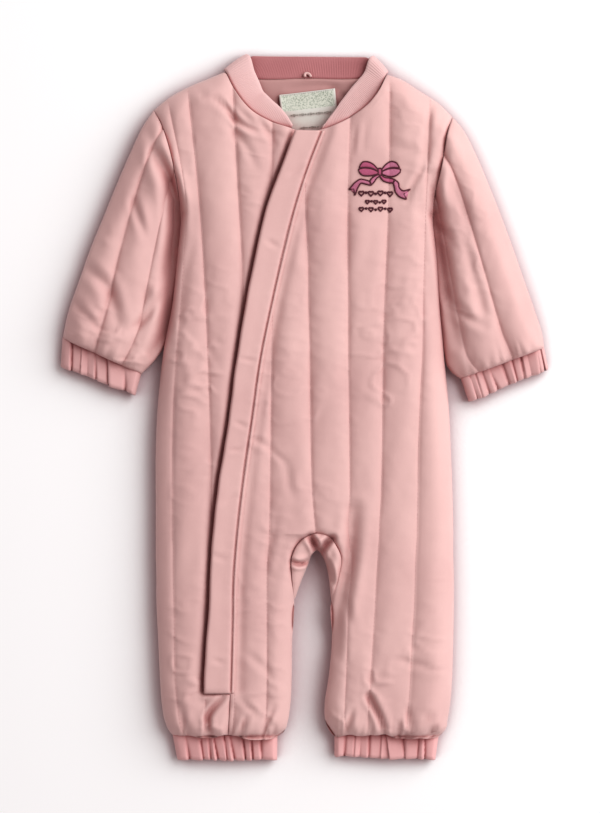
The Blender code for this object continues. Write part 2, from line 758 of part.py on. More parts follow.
def gusset(collection, look):
    """The padded crotch gusset, bent round the inner legs between the front's arch and the back's."""
    right_edge = [(row[-1], row[0]) for row in RIGHT_LEG_ROWS[:5]]
    left_edge = [(row[1], row[0]) for row in LEFT_LEG_ROWS[:5]]
    arch = right_edge[::-1] + [(TORSO_ROWS[-1][6], TORSO_ROWS[-1][0])] + left_edge
    crotch = INNER_LEGS[5:14]
    sections = []
    for step in np.linspace(0.03, 0.97, 17):
        seam = along(arch, step)
        fold = along(crotch, step)
        reach = np.linalg.norm(fold - seam)
        away = (fold - seam) / reach
        seam = seam + away * SEAM_GAP * 1.8
        outer = np.array([seam + (fold - seam) * share for share in (0.0, 0.45, 0.8, 1.0)])
        inner = np.array([seam + (fold - seam) * share for share in (0.0, 0.35, 0.6)])
        top = front_face(outer)
        top[-1] = seam_height(outer)[-1]
        low = back_face(outer)
        ceiling = np.minimum(front_lining(inner), front_face(inner) - GUSSET_WALL)
        floor = np.maximum(back_lining(inner), back_face(inner) + GUSSET_WALL)
        section = [(*p, z) for p, z in zip(outer, top)]
        section += [(*p, z) for p, z in zip(outer, low)][-2::-1]
        section += [(*p, z) for p, z in zip(inner, floor)]
        section += [(*p, z) for p, z in zip(inner, ceiling)][::-1]
        sections.append(section)
    return loft("gusset", sections, collection, look)


# Collar, zip, flap, label and hanger loop.


def collar(collection, look):
    """The rib band, sewn round the neckline and folded at the two shoulders."""
    folds = {"right_fold": (RIGHT_SHOULDER[-1], -COLLAR_FOLD), "left_fold": (LEFT_SHOULDER[0], COLLAR_FOLD)}
    seams = []
    edges = []
    for line, share, height, *edge in COLLAR_ROWS:
        if line in folds:
            (x, y), swell = folds[line]
            sewn = np.array([x + swell, y + abs(swell)])
        else:
            sewn = along(FRONT_NECKLINE if line == "front" else BACK_NECKLINE, share)
        away = np.array(edge[:2]) - sewn
        sewn = sewn + away / np.linalg.norm(away) * COLLAR_SEAM_GAP
        seams.append(np.array([*sewn, height]))
        edges.append(np.array(edge))
    middles = [(seam + edge) / 2 for seam, edge in zip(seams, edges)]
    sections = []
    for i, (seam, edge) in enumerate(zip(seams, edges)):
        ahead = middles[min(i + 1, len(middles) - 1)] - middles[max(i - 1, 0)]
        outward = np.cross(edge - seam, ahead)
        outward = outward / np.linalg.norm(outward) * COLLAR_THICKNESS / 2
        crown = (seam + edge) / 2
        sections.append(
            [seam + outward, crown + outward * 1.25, edge + outward * 0.8]
            + [edge - outward * 0.8, crown - outward * 0.9, seam - outward]
        )
    return loft("collar", sections, collection, look)


def ribbon_along_zip(name, profile, rows, collection, look):
    """A strip beside the zip: each profile point is its offset from the flap's seam towards the free
    edge, as a share of the flap's width or in mm, and its height over the front."""
    sections = []
    for y, seam, free in rows:
        plan = np.array(
            [(seam + offset * (free - seam) if share else seam + offset, y) for offset, _, share in profile]
        )
        heights = front_face(plan) + np.array([height for _, height, _ in profile])
        sections.append([(*p, z) for p, z in zip(plan, heights)])
    return loft(name, sections, collection, look)


def flap(collection, look):
    """The guard sewn to the left front, lying over the zip with its free edge standing off a little."""
    raised = FLAP_CLEAR + FLAP_LIFT
    low = [(0.0, FLAP_CLEAR), (0.3, FLAP_CLEAR), (0.65, FLAP_CLEAR + FLAP_LIFT * 0.5), (1.0, raised)]
    thick = (0.9, 1.0, 1.0, 0.7)
    profile = [(share, height, True) for share, height in low]
    upper = [(share, height + FLAP_THICKNESS * size, True) for (share, height), size in zip(low, thick)]
    return ribbon_along_zip("flap", profile + upper[::-1], ZIP_ROWS, collection, look)


def zip_strip(collection, look):
    """Tape and closed chain between the two fronts, under the flap."""
    left = -ZIP_INSET - ZIP_HALF
    right = -ZIP_INSET + ZIP_HALF
    profile = (
        (left, -9.0, False),
        (right, -9.0, False),
        (right, -7.6, False),
        (right - 1.4, -7.6, False),
        (right - 1.9, -6.2, False),
        (left + 1.9, -6.2, False),
        (left + 1.4, -7.6, False),
        (left, -7.6, False),
    )
    rows = [(223.0, 12.2, 0.0)] + list(ZIP_ROWS[1:-1]) + [(-231.5, -60.45, 0.0)]
    return ribbon_along_zip("zip", profile, rows, collection, look)


def rounded_block(name, size, place, turn, collection, look):
    """A box with rounded edges, in mm, centred on place and turned about +Z."""
    bpy.ops.mesh.primitive_cube_add(size=1)
    obj = bpy.context.object
    obj.name = name
    obj.data.transform(Matrix.Diagonal((*(side * MM for side in size), 1)))
    obj.location = Vector(place) * MM
    obj.rotation_euler.z = turn
    edges = obj.modifiers.new("rounding", "BEVEL")
    edges.width = SLIDER_ROUNDING * MM * min(1.0, size[2] / SLIDER_SIZE[2] * 1.5)
    edges.segments = 2
    obj.data.materials.append(look)
    for held_in in obj.users_collection:
        held_in.objects.unlink(obj)
    collection.objects.link(obj)
    return obj


def zip_slider(collection, cutters, look):
    """The slider at the top of the closed chain, with its pull tab lying down the zip."""
    ys = [row[0] for row in ZIP_ROWS][::-1]
    seams = [row[1] for row in ZIP_ROWS][::-1]
    x = np.interp(SLIDER_AT, ys, seams) - ZIP_INSET
    below = np.interp(SLIDER_AT - 10, ys, seams) - ZIP_INSET
    turn = math.atan2(below - x, 10)
    level = float(front_face([(x, SLIDER_AT)])[0]) - SLIDER_DROP
    body = rounded_block(
        "zip_slider", SLIDER_SIZE, (x, SLIDER_AT, level + SLIDER_SIZE[2] / 2), turn, collection, look
    )
    reach = PULL_TAB_SIZE[1] / 2
    tab_at = (x + reach * math.sin(turn), SLIDER_AT - reach * math.cos(turn), level + SLIDER_SIZE[2] - 1)
    tab = rounded_block("zip_slider_tab", PULL_TAB_SIZE, tab_at, turn, cutters, look)
    tab.hide_render = True
    tab.display_type = "WIRE"
    joined = body.modifiers.new("pull_tab", "BOOLEAN")
    joined.operation = "UNION"
    joined.object = tab
    return body


def label(collection, look):
    """The neck label, lying on the back's lining and running down inside the front."""
    steps = 4
    corner = [np.array(point) for point in LABEL_CORNERS]
    plan = []
    for j in range(steps + 1):
        left = corner[0] + (corner[3] - corner[0]) * j / steps
        right = corner[1] + (corner[2] - corner[1]) * j / steps
        plan += [left + (right - left) * i / steps for i in range(steps + 1)]
    plan = np.array(plan)
    width = steps + 1
    quads = [
        (a + width, a + width + 1, a + 1, a)
        for a in (j * width + i for j in range(steps) for i in range(steps))
    ]
    bottom = back_lining(plan) + 2 * SEAM_GAP
    return slab("label", plan, quads, bottom + LABEL_THICKNESS, bottom, collection, look)


def hanger_loop(collection, look):
    """A small loop of cord sewn into the back neck seam, lying on the collar."""
    (x0, y0), (x1, y1) = LOOP_FEET
    curve = bpy.data.curves.new("hanger_loop", "CURVE")
    curve.dimensions = "3D"
    curve.bevel_depth = LOOP_RADIUS * MM
    curve.bevel_resolution = 1
    curve.use_fill_caps = True
    steps = 10
    spline = curve.splines.new("POLY")
    spline.points.add(steps)
    for k in range(steps + 1):
        turn = math.pi * k / steps
        x = (x0 + x1) / 2 + (x0 - x1) / 2 * math.cos(turn)
        y = (y0 + y1) / 2 + LOOP_REACH * math.sin(turn)
        z = LOOP_HEIGHT - LOOP_DROP * math.sin(turn)
        spline.points[k].co = (x * MM, y * MM, z * MM, 1)
    curve.materials.append(look)
    obj = bpy.data.objects.new("hanger_loop", curve)
    collection.objects.link(obj)
    return obj


def build():
    clear_scene()
    parts = new_collection("baby_snowsuit")
    cutters = new_collection("cutters")
    shell = material("shell", SHELL)
    rib = material("rib", RIB)
    fronts(parts, cutters, shell)
    back(parts, shell)
    gusset(parts, shell)
    sleeve("sleeve_right", RIGHT_SLEEVE, RIGHT_ARMHOLE, -1, parts, shell)
    sleeve("sleeve_left", LEFT_SLEEVE, LEFT_ARMHOLE, 1, parts, shell)
    for side, cut in (("right", RIGHT_SLEEVE), ("left", LEFT_SLEEVE)):
        cuff("cuff_wrist_" + side, (cut["inner"][-1], cut["outer"][-1]), cut["hem"], parts, shell)
    for side, ankle in ANKLES.items():
        cuff("cuff_ankle_" + side, ankle[:2], ankle[2:], parts, shell)
    collar(parts, rib)
    flap(parts, shell)
    zip_strip(parts, material("zip_tape", ZIP_TAPE))
    zip_slider(parts, cutters, material("slider", SLIDER))
    label(parts, material("label", LABEL))
    hanger_loop(parts, shell)


build()
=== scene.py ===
"""Looks of the laid-out, padded baby snowsuit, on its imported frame. Blender 4.5."""
import math

import bpy
import numpy as np
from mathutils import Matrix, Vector


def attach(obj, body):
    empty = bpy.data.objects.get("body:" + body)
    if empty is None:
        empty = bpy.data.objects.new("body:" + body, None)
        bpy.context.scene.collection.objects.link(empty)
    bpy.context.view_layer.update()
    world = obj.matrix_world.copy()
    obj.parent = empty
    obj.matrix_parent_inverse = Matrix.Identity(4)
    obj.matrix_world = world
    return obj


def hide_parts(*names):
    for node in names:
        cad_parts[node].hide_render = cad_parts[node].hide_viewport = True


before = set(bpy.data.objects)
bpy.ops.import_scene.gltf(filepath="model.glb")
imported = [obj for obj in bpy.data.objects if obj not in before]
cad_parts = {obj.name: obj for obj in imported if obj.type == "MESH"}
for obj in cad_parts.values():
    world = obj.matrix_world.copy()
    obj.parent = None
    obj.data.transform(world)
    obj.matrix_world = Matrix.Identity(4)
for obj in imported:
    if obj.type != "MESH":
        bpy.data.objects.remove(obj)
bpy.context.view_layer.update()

# Tables and sizes are in millimetres, and MM turns them into metres where a mesh is made.
MM = 0.001

# Thicknesses and heights.
BODY_CROWN = 24.5
SLEEVE_CROWN = 21.5
SEAM_HEIGHT = 11.5
CUFF_SEAM_HEIGHT = 7.5
SEAM_EDGE = 0.7
FRONT_ROUNDING = 27.0
GAP_ROUNDING = 8.0  # how much faster the front rises beside the gap between the legs
BACK_ROUNDING = 16.0
LINING_GAP = 3.5
LINING_FROM = 5.0  # the shell turns in this far before the lining starts
SEAM_GAP = 0.3
CUFF_PULL = 0.34
CUFF_PULL_REACH = 13.0
CUFF_LINING_GAP = 3.2
CUFF_ROUND = 9.0  # how far from its side a cuff is at its full height
CUFF_RISE = 5.6
PUFF_SHARE = 0.125  # height of a quilted channel over its stitching, as a share of its width
MOST_PUFF = 4.6
PUFF_SHARPNESS = 0.8
SLEEVE_TUCK = 34.0  # how much more slowly a sleeve rises where it lies against the body
SLEEVE_SINK = 3.0  # how much lower its top is there
SLEEVE_DROP = 6.0  # how much lower a sleeve's inner side lies, where it goes under the body
SLEEVE_UNDER = 1.1  # how far it goes under
FLAP_BED = 2.4  # how far the quilting rises next to the flap, where its seams level it
FLAP_BED_FADE = 13.0
FREE_EDGE_FADE = 5.0
COLLAR_THICKNESS = 2.4
FRONT_COLLAR_LIFT = 1.8
RIB_PITCH = 1.45
RIB_HEIGHT = 0.45
CHAIN_DEPTH = 7.0  # how far the zip's tape lies under the front
WRIST_GATHERS = {"right": 10.0, "left": 6.6}  # from fold to fold
ANKLE_GATHER = 8.4
STITCH_LENGTH = 2.4
STITCH_WIDTH = 0.42
STITCH_PITCH = 3.3

# Mesh spacing, and rows of points along a piece.
BODY_CELL = 1.75
BACK_CELL = 2.2
SLEEVE_CELL = 1.6
CUFF_CELL = 0.55
SLEEVE_ROWS = 116
CUFF_ROWS = 19
GUSSET_ROWS = 110
FLAP_ROWS = 300
TAPE_ROWS = 230
COLLAR_COLUMNS = 11
LABEL_STEPS = 30

# Places.
BOW_AT = np.array([61.5, 192.5])
EMBROIDERY_MIDDLE = BOW_AT + (0, -8)
EMBROIDERY_REACH = 26.0  # its backing holds the quilting down this far
ARMHOLE_X = 105.0  # about where the sleeves start
LEG_GAP_X = 10.0  # between the two legs
ZIP_HALF = 4.0
ZIP_INSET = 9.0
TEETH_FROM = -229.0
TEETH_TO = 201.0
HEM_LOW = -262.0  # where the quilting lines end above the ankle cuffs
CROTCH_LOW = -101.0  # where the middle one ends

# Light, camera and floor, in metres.
KEY_POWER = 136.0
KEY_SIZE = 3.0
KEY_AT = (2.03, 1.08, 1.93)
SKY_STRENGTH = 0.42
CAMERA_AT = (-0.0037, 0.001, 2.413)
CAMERA_LENS = 129.6
FLOOR_REACH = 7.0
FLOOR_LEVEL = -0.0002

# Colours of cloth and paper. The next two numbers set the painted shade in the cloth's folds and seams, and
# the two after them the painted shadow on the paper near the suit.
PAINTED_SHADE_REACH = 0.02  # metres: how near other cloth is for a fold to look deeper in colour
PAINTED_SHADE_COLOUR = (0.66, 0.4, 0.41, 1)
FLOOR_SHADE_REACH = 0.06
FLOOR_SHADE = (0.56, 0.41, 0.43, 1)
WAVE_SCALE = 0.314  # a wave texture's scale for one band a metre
WEAVE_SHARE = 0.22
FUZZ_SHARE = 0.3
CLOTH_SPECULAR = 0.25
SHEEN_ROUGHNESS = 0.45

# The body's lines, from the armholes to the crotch: y, then x of the right side seam, the eight
# quilting lines and the left side seam.
TORSO_ROWS = (
    (158, -101.5, -96.5, -85, -53, -26.5, 1, 35.5, 68.5, 99, 105),
    (121, -104.5, -98.5, -82.5, -51, -26, 3, 35.5, 67, 98, 108.5),
    (84.5, -108.5, -101, -80.5, -50, -26, 3.5, 36, 65.5, 97, 110.5),
    (47.5, -115.5, -104, -79, -50.5, -26.5, 4.5, 36, 64.5, 96.5, 114),
    (6.5, -120, -106.5, -77.5, -52, -27, 5, 36.5, 64, 94.5, 118),
    (-34.5, -122, -107.5, -76.5, -53, -27.5, 5.5, 37, 63.5, 93, 120),
    (-75.5, -122, -107.5, -76, -53.5, -28, 7, 37, 62.5, 92.5, 121.5),
    (-102.5, -122, -107.5, -76, -53.5, -28.5, 9.5, 36, 61, 92, 122),
)
# y, right side seam, r3, r2, r1, l0, inner edge.
RIGHT_LEG_ROWS = (
    (-106, -122, -107.5, -76, -53.5, -28.5, 0),
    (-112.5, -122, -107, -76, -53.5, -29, -6.5),
    (-121.5, -122, -107, -76, -54.5, -30, -10.5),
    (-137, -121.5, -107, -76.5, -55, -30.5, -10.5),
    (-157.5, -121.5, -106.5, -76.5, -55.5, -30.5, -8.5),
    (-190.5, -120, -106, -77.5, -56, -30.5, -10),
    (-223, -118.5, -105.5, -79, -57, -30.5, -10.5),
    (-243.5, -117, -103.5, -81, -57, -31, -11.5),
    (-256, -115, -102, -81, -58, -31.5, -13.5),
    (-265, -111.5, -99.5, -80, -58.5, -33, -16.5),
    (-269, -108.5, -97, -79, -59.5, -35, -22),
)
# y, inner edge, l2, l3, l4, left side seam.
LEFT_LEG_ROWS = (
    (-106, 21.5, 36.5, 61, 92, 122),
    (-112.5, 26, 37, 60.5, 91.5, 122),
    (-121.5, 30, 38.5, 60, 91, 122),
    (-137, 28.5, 38, 59, 90.5, 122.5),
    (-157.5, 22, 36, 58, 90, 122.5),
    (-190.5, 22.5, 35, 56, 88, 122),
    (-223, 19.5, 34, 54, 86.5, 121),
    (-243.5, 16.5, 33, 52.5, 85, 119.5),
    (-256, 17, 33, 52, 84, 117.5),
    (-265, 21, 35, 53, 83, 115),
    (-269, 24.5, 37, 54, 82.5, 110.5),
)
# The upper ends of the same ten lines at the shoulders and the neck, and where the eight quilting
# lines' stitching ends.
TOP_X = (-123.5, -112, -95.5, -58.5, -26, 2, 37.5, 70, 103, 121)
TOP_Y = (244, 255, 262, 262, 233, 226, 237, 270, 255, 238.5)
STITCHED_TO = (255, 262, 259, 231, 224, 235, 269, 253)
RIGHT_ARMHOLE = (
    (-101.5, 158), (-103.5, 178.5), (-107, 198), (-112, 218), (-117, 232), (-123.5, 244),
)
LEFT_ARMHOLE = (
    (105, 158), (106.5, 174.5), (110.5, 191), (114, 209), (117, 226), (121, 238.5),
)
RIGHT_SHOULDER = ((-123.5, 244), (-110.5, 254.5), (-94, 263.5), (-76, 271), (-65, 275.5))
LEFT_SHOULDER = ((67.5, 273.5), (78.5, 269.5), (94.5, 259.5), (111, 248.5), (121, 238.5))
FRONT_NECKLINE = (
    (-65, 275.5), (-58.5, 262), (-42.25, 241.8), (-26, 233), (-12, 228.5), (2, 226), (5.5, 225.9),
    (19.75, 228.8), (37.5, 237.2), (53.75, 249.5), (61.9, 260.8), (67.5, 273.5),
)
BACK_NECKLINE = (
    (-65, 275.5), (-58.5, 272.6), (-42.25, 269.7), (2, 270), (37.5, 269.5), (57, 271), (67.5, 273.5),
)
INNER_LEGS = (
    (-22, -269), (-16.5, -265), (-11.5, -243.5), (-10.5, -223), (-10, -190.5), (-8, -157.5), (-2, -141),
    (3, -129), (6.5, -120), (10.5, -117), (14.5, -121.5), (18, -130), (20.5, -145), (21.8, -157.5),
    (22.5, -190.5), (19.5, -223), (16.5, -243.5), (17, -256), (24.5, -269),
)
# Sleeves: outline from armhole to cuff, the cuff's hem, and lines along the sleeve as their share
# of the way from the underarm to the outer edge, at the armhole and at the cuff.
RIGHT_SLEEVE = {
    "outer": (
        (-123.5, 244), (-133, 230), (-143, 209), (-154, 183.5), (-165, 156.5), (-176, 129.5),
        (-185.5, 102.5), (-194, 78.5), (-199, 57),
    ),
    "inner": (
        (-101.5, 158), (-102.9, 146), (-104.2, 129.5), (-107.6, 96.5), (-112.4, 66), (-115.4, 52.5),
        (-122.6, 39.5), (-134, 27.5),
    ),
    "hem": ((-139, 10.5), (-200.5, 34)),
    "lines": ((0, 0), (0.4, 0.24), (0.8, 0.58), (1, 1)),
}
LEFT_SLEEVE = {
    "outer": (
        (121, 238.5), (129, 229.5), (140, 209), (150.5, 184.5), (161, 158), (171, 131), (180, 105),
        (189, 79.5), (195.5, 59.5), (197, 49),
    ),
    "inner": (
        (105, 158), (106.9, 144), (108.3, 129.5), (110.3, 96.5), (113.1, 62), (115.2, 43), (117, 34.5),
        (121.4, 28.5), (128.5, 23.5),
    ),
    "hem": ((135, 4.5), (200.5, 32)),
    "lines": ((0, 0), (0.2, 0.22), (0.6, 0.62), (1, 1)),
}
ANKLES = {
    "right": ((-108.5, -269), (-22, -269), (-104.5, -289), (-22.5, -289)),
    "left": ((24.5, -269), (110.5, -269), (24.5, -286), (107.5, -289)),
}
# The zip: y, x at the flap's seam, x at its free edge.
ZIP_ROWS = (
    (225, 13, -7.5),
    (200, 3.3, -17),
    (167, -7.5, -29),
    (126, -18, -39),
    (86.5, -27, -46.5),
    (40, -36.5, -54.5),
    (-10, -43.6, -61),
    (-62.5, -51, -69.5),
    (-97, -55, -73.5),
    (-143, -58.5, -76.5),
    (-174, -59, -78),
    (-207, -59.8, -80),
    (-233, -60.5, -81.5),
)
CLOSED_FRONT_SEAM = ((-233, -60.7), (-275, -63))

# The rib collar right round: the neckline it is sewn to, the share along that, the seam's height,
# then x, y, z of the free edge.
COLLAR_ROWS = (
    ("front", 0.435, 21.5, -10, 231, 21),
    ("front", 0.385, 21.5, -15, 239, 19.5),
    ("front", 0.335, 21.5, -21, 246, 18.5),
    ("front", 0.285, 21.5, -26.5, 251, 17.5),
    ("front", 0.235, 21, -31, 255.5, 16.5),
    ("front", 0.17, 20, -34.5, 259.5, 15.5),
    ("front", 0.11, 18.5, -37.5, 267, 14.5),
    ("front", 0.055, 16.5, -41.5, 276, 13.5),
    ("front", 0, 13.8, -46, 289, 11.8),
    ("right_fold", 0, 11.6, -48, 290, 9),
    ("back", 0, 9.4, -46, 289, 6.2),
    ("back", 0.09, 9.8, -41.5, 289, 5.2),
    ("back", 0.2, 10.2, -33, 288.8, 4.8),
    ("back", 0.35, 10.4, -15, 288.6, 4.6),
    ("back", 0.5, 10.4, 3.5, 288.5, 4.6),
    ("back", 0.65, 10.4, 22, 288.3, 4.6),
    ("back", 0.8, 10.2, 40, 288.1, 4.8),
    ("back", 0.91, 9.8, 49.5, 288, 5.2),
    ("back", 1, 9.4, 54.5, 287.6, 6.2),
    ("left_fold", 1, 11.6, 56.5, 288.6, 9),
    ("front", 1, 13.8, 54.5, 287.6, 11.8),
    ("front", 0.945, 16.5, 49.5, 275, 13.5),
    ("front", 0.89, 18.5, 44, 268, 14.5),
    ("front", 0.83, 20, 38.5, 261.5, 15.5),
    ("front", 0.77, 21, 34, 255.5, 16.5),
    ("front", 0.72, 21.5, 29.5, 249.5, 17.5),
    ("front", 0.67, 21.5, 25.5, 243.5, 18.5),
    ("front", 0.62, 21.5, 20.5, 237, 19.5),
    ("front", 0.57, 21.5, 16.5, 231.5, 21),
)
# Rows of marks on the label: how far down it, then where the row starts and ends across it.
LABEL_MARKS = ((0.5, 0.16, 0.93), (0.8, 0.3, 0.66))
LABEL_CORNERS = ((-21, 256.5), (25, 262), (29, 224), (-17, 218.5))

# Creases in the upper face: depth (a trough is positive), half width, then the line they follow.
FRONT_CREASES = (
    (3.2, 2.4, ((-74, 253), (-62.5, 242.5), (-57, 235), (-38, 224.5))),
    (1.6, 3.2, ((-52, 240), (-36, 228), (-21, 222))),
    (1.4, 2.4, ((-43, 247.5), (-35, 232.5), (-24, 214.5))),
    (1.2, 2.6, ((-86, 259), (-79, 250.5))),
    (1.3, 3, ((-66, 236), (-48, 214), (-40, 196))),
    (0.9, 2, ((39, 207.5), (41.5, 229.5))),
    (0.9, 2, ((47.5, 210), (50, 234))),
    (0.8, 2.4, ((97, 215), (104.5, 248))),
    (0.8, 2.4, ((108, 220), (112, 241.5))),
    (0.8, 4, ((72, 214), (96, 206))),
    (1.6, 2, ((97, 196), (88, 182), (84, 168))),
    (1.2, 3, ((104, 226), (98, 206), (93, 186))),
    (2, 4, ((-127.5, 226), (-122, 205), (-119, 190))),
    (4, 3.6, ((-117, 204), (-108.5, 182.5), (-103.5, 166.5), (-104.5, 150.5))),
    (2, 3, ((-104.5, 148), (-112, 124.5))),
    (3, 4.4, ((-181, 117.5), (-160.5, 97), (-151.5, 68))),
    (2.2, 3.4, ((-189.5, 87.5), (-167.5, 60))),
    (2, 3, ((-140, 170), (-131, 142))),
    (8.5, 5.2, ((-119, 206), (-110, 182), (-106.5, 158), (-109.5, 130), (-117, 104))),
    (2.6, 3, ((-116, 96), (-128, 76), (-143, 62))),
    (4.5, 4, ((-108, 122), (-112.5, 92), (-117, 60), (-126, 44))),
    (4.2, 4, ((104.5, 190), (107, 166), (112.5, 128), (119, 84), (126, 52))),
    (2.4, 4.4, ((130, 140), (139, 104), (146, 72))),
    (2, 3.2, ((108, 150), (116, 143), (122, 132))),
    (2.2, 3.4, ((116, 96), (128, 78), (146, 66))),
    (1.4, 5, ((143, 94.5), (148, 70))),
    (-1.4, 4, ((117, 198.5), (113, 168.5))),
    (1.6, 4, ((112.5, 192), (127, 168), (133, 140))),
    (1, 2.2, ((-40, -25.5), (-27.5, -34))),
    (0.9, 2.2, ((-25, -35.5), (-16, -45.5))),
    (1, 3, ((-16, -41), (-9.5, -73.5))),
    (0.9, 3, ((-21.5, -84), (-32.5, -135))),
    (1, 3, ((-46.5, -200.5), (-26.5, -218.5))),
    (1.1, 2.4, ((-51, -237.5), (-39.5, -251.5))),
    (4.6, 2.2, ((-66.5, -236.5), (-79, -253), (-77, -268))),
    (3.4, 2, ((-47.5, -252.5), (-53, -268.5))),
    (2, 2.4, ((-101, -246), (-96, -268))),
    (1.8, 2.2, ((-25, -244), (-34, -266))),
    (5.4, 5, ((40.5, -84), (36.5, -125), (31.5, -149.5), (27, -174), (24.5, -200.5))),
    (1, 3, ((75.5, -206), (105, -212))),
    (4.8, 2.4, ((51.5, -234.5), (61, -252), (66, -268))),
    (3.2, 2.2, ((100.5, -248.5), (106, -269.5))),
    (2.4, 2.2, ((39, -248), (33, -267))),
    (2, 2.4, ((84, -246), (88, -268))),
    (1, 3, ((33, -155.5), (39.5, -180.5))),
    (5.5, 1.8, ((-10.5, -126), (-5, -127.5), (0.5, -126.5), (4, -124.5))),
    (8.5, 2.4, ((4.5, -105), (9, -113), (12.5, -122.5))),
    (7.5, 2.4, ((22.5, -106.5), (16, -113), (12.5, -122.5))),
    (6, 2.6, ((14.5, -123), (19.5, -133), (22.5, -143))),
)
BACK_CREASES = (
    (1.4, 2.6, ((-12, 262), (10, 264.5), (40, 262))),
    (1.6, 2.6, ((22, 263), (38, 252))),
    (0.8, 3, ((-46, 262), (-30, 240))),
)
FLAP_CREASES = (
    (0.8, 1.6, ((-52, 40), (-40, 38))),
    (0.9, 2, ((-30, 136), (-22, 131))),
    (0.8, 1.8, ((-56, -12), (-47, -16))),
    (0.9, 1.6, ((-60, -35), (-52, -34))),
    (0.8, 2, ((-74, -206), (-66, -208))),
    (0.6, 2.4, ((-76, -120), (-64, -124))),
    (0.6, 2.4, ((-66, -78), (-56, -72))),
    (0.7, 2, ((-2, 196), (-12, 190))),
)
# Across the flap's seam: mm to the right of it, then height over the front there.
FLAP_RIDGE = (
    (5.2, -1.4), (4.6, 0.12), (4.1, -0.5), (3.7, -0.5), (3.3, 0.3), (2.6, 0.85), (1.8, 1.05),
    (1.1, 0.75), (0.7, -0.3), (0.3, -1.1),
)
# Across the flap itself: share of its width from the seam, then height over its bed.
FLAP_RISE = (
    (0, -1), (0.025, 0), (0.06, 0.8), (0.11, 1.2), (0.2, 1.4), (0.3, 1.6), (0.4, 1.8), (0.5, 2),
    (0.6, 2.3), (0.7, 2.6), (0.8, 2.9), (0.88, 3.1), (0.94, 3.2), (0.98, 3), (1, 2.6),
)
# Each satin area of the bow: its tone, its thread count, how deep its end is notched, then its two
# edges from the knot outwards.
BOW_AREAS = (
    ("deep", 30, 0, ((-1.4, 1.4), (-5, 5.6), (-9.6, 8), (-14, 7.8), (-16.2, 4.8)),
     ((-1.4, 0.2), (-5.5, 2.4), (-10, 3.4), (-14, 3.4), (-16.6, 3.2))),
    ("deep", 26, 0, ((-1.4, 0), (-5.5, 2), (-10, 3), (-14.5, 2.9), (-17.2, 2)),
     ((-1.4, -1.8), (-5, -2.8), (-10, -3.4), (-14.5, -2.7), (-16.8, -0.4))),
    ("light", 30, 0, ((1.4, 1.5), (4.8, 5.8), (9.2, 8.4), (13.4, 7.2), (15.6, 3.8)),
     ((1.4, 0.2), (4.8, 2), (8.6, 3.2), (12, 3.4), (15.8, 3))),
    ("light", 26, 0, ((1.4, -0.1), (4.8, 1.6), (8.6, 2.8), (12.4, 2.9), (16.8, 2)),
     ((1.4, -1.8), (4.8, -3.2), (9, -4), (13, -3.2), (16.4, -0.6))),
    ("light", 14, 0, ((-1, -2.4), (-4.4, -3.8), (-6.8, -5.6), (-8.4, -8.4)),
     ((-0.2, -3.4), (-2.8, -5.4), (-4.6, -8.2), (-7.4, -11.2))),
    ("light", 30, 0.16, ((-7.6, -8.2), (-11.5, -6.9), (-16, -6.2), (-20, -8.6), (-25.2, -14.4)),
     ((-7, -11.2), (-11.8, -10.1), (-15.4, -9.4), (-17.6, -12.4), (-20.4, -19.4))),
    ("deep", 16, 0, ((0.8, -2.6), (3.6, -4.6), (8.6, -5.3), (12.6, -6.6)),
     ((0, -3.8), (2.8, -7.4), (6.8, -8.8), (11.2, -9.2))),
    ("light", 26, 0.2, ((11.8, -6.4), (15, -9), (15.8, -13), (18.4, -15.4), (24.8, -14.2)),
     ((10.8, -8.8), (11.8, -12.2), (12.6, -16.2), (15.8, -20.2), (21.6, -22.6))),
    ("deep", 8, 0, ((-1.7, 2.4), (0, 2.8), (1.7, 2.2)), ((-1.5, -2.4), (0, -3), (1.8, -2.6))),
)
# Rows of small hearts and dots under the bow: height, spacing, size, count.
HEART_ROWS = ((-17.6, 3.9, 4.3, 7), (-24.6, 3.4, 3.2, 5), (-30.6, 3.9, 3.7, 7))
# Each cloth's dark and light colour and its weave's pitch, then its roughness, sheen and bump.
CLOTHS = {
    "shell_cotton": ((0.60, 0.355, 0.34), (0.69, 0.435, 0.41), 0.45),
    # A lighter copy of the wrist cuffs' cotton: painted light, making the ankle cuffs show brighter.
    "ankle_cuff_cotton_painted_light": ((0.65, 0.33, 0.325), (0.77, 0.415, 0.405), 0.45),
    "wrist_cuff_cotton": ((0.58, 0.315, 0.308), (0.69, 0.395, 0.382), 0.45),
    # A darker copy of the shell cotton: painted shade for the lining inside the neck opening.
    "lining_cotton_painted_shade": ((0.42, 0.215, 0.205), (0.50, 0.27, 0.255), 0.45),
    "rib_knit": ((0.63, 0.39, 0.38), (0.74, 0.485, 0.47), 0.7, 0.92, 0.3),
    # A darker copy of the rib knit: painted shade for the collar band's shaded inner face.
    "rib_knit_painted_shade": ((0.32, 0.108, 0.114), (0.45, 0.175, 0.18), 0.7, 0.95, 0.2),
    "zip_tape": ((0.55, 0.25, 0.27), (0.66, 0.34, 0.35), 0.5),
    "zip_teeth": ((0.60, 0.28, 0.30), (0.70, 0.36, 0.37), 0.8, 0.4, 0.0),
    "label_satin": ((0.60, 0.60, 0.54), (0.67, 0.67, 0.61), 0.3, 0.6, 0.1, 0.3),
    "label_thread": ((0.16, 0.18, 0.14), (0.22, 0.24, 0.19), 0.3),
    "quilting_thread": ((0.57, 0.33, 0.32), (0.66, 0.40, 0.385), 0.3),
    "thread_deep": ((0.36, 0.055, 0.13), (0.48, 0.10, 0.20), 0.3, 0.5, 0.3),
    "thread_light": ((0.46, 0.12, 0.22), (0.58, 0.20, 0.31), 0.3, 0.5, 0.3),
    "thread_dark": ((0.045, 0.003, 0.009), (0.08, 0.008, 0.02), 0.3, 0.6, 0.1),
}


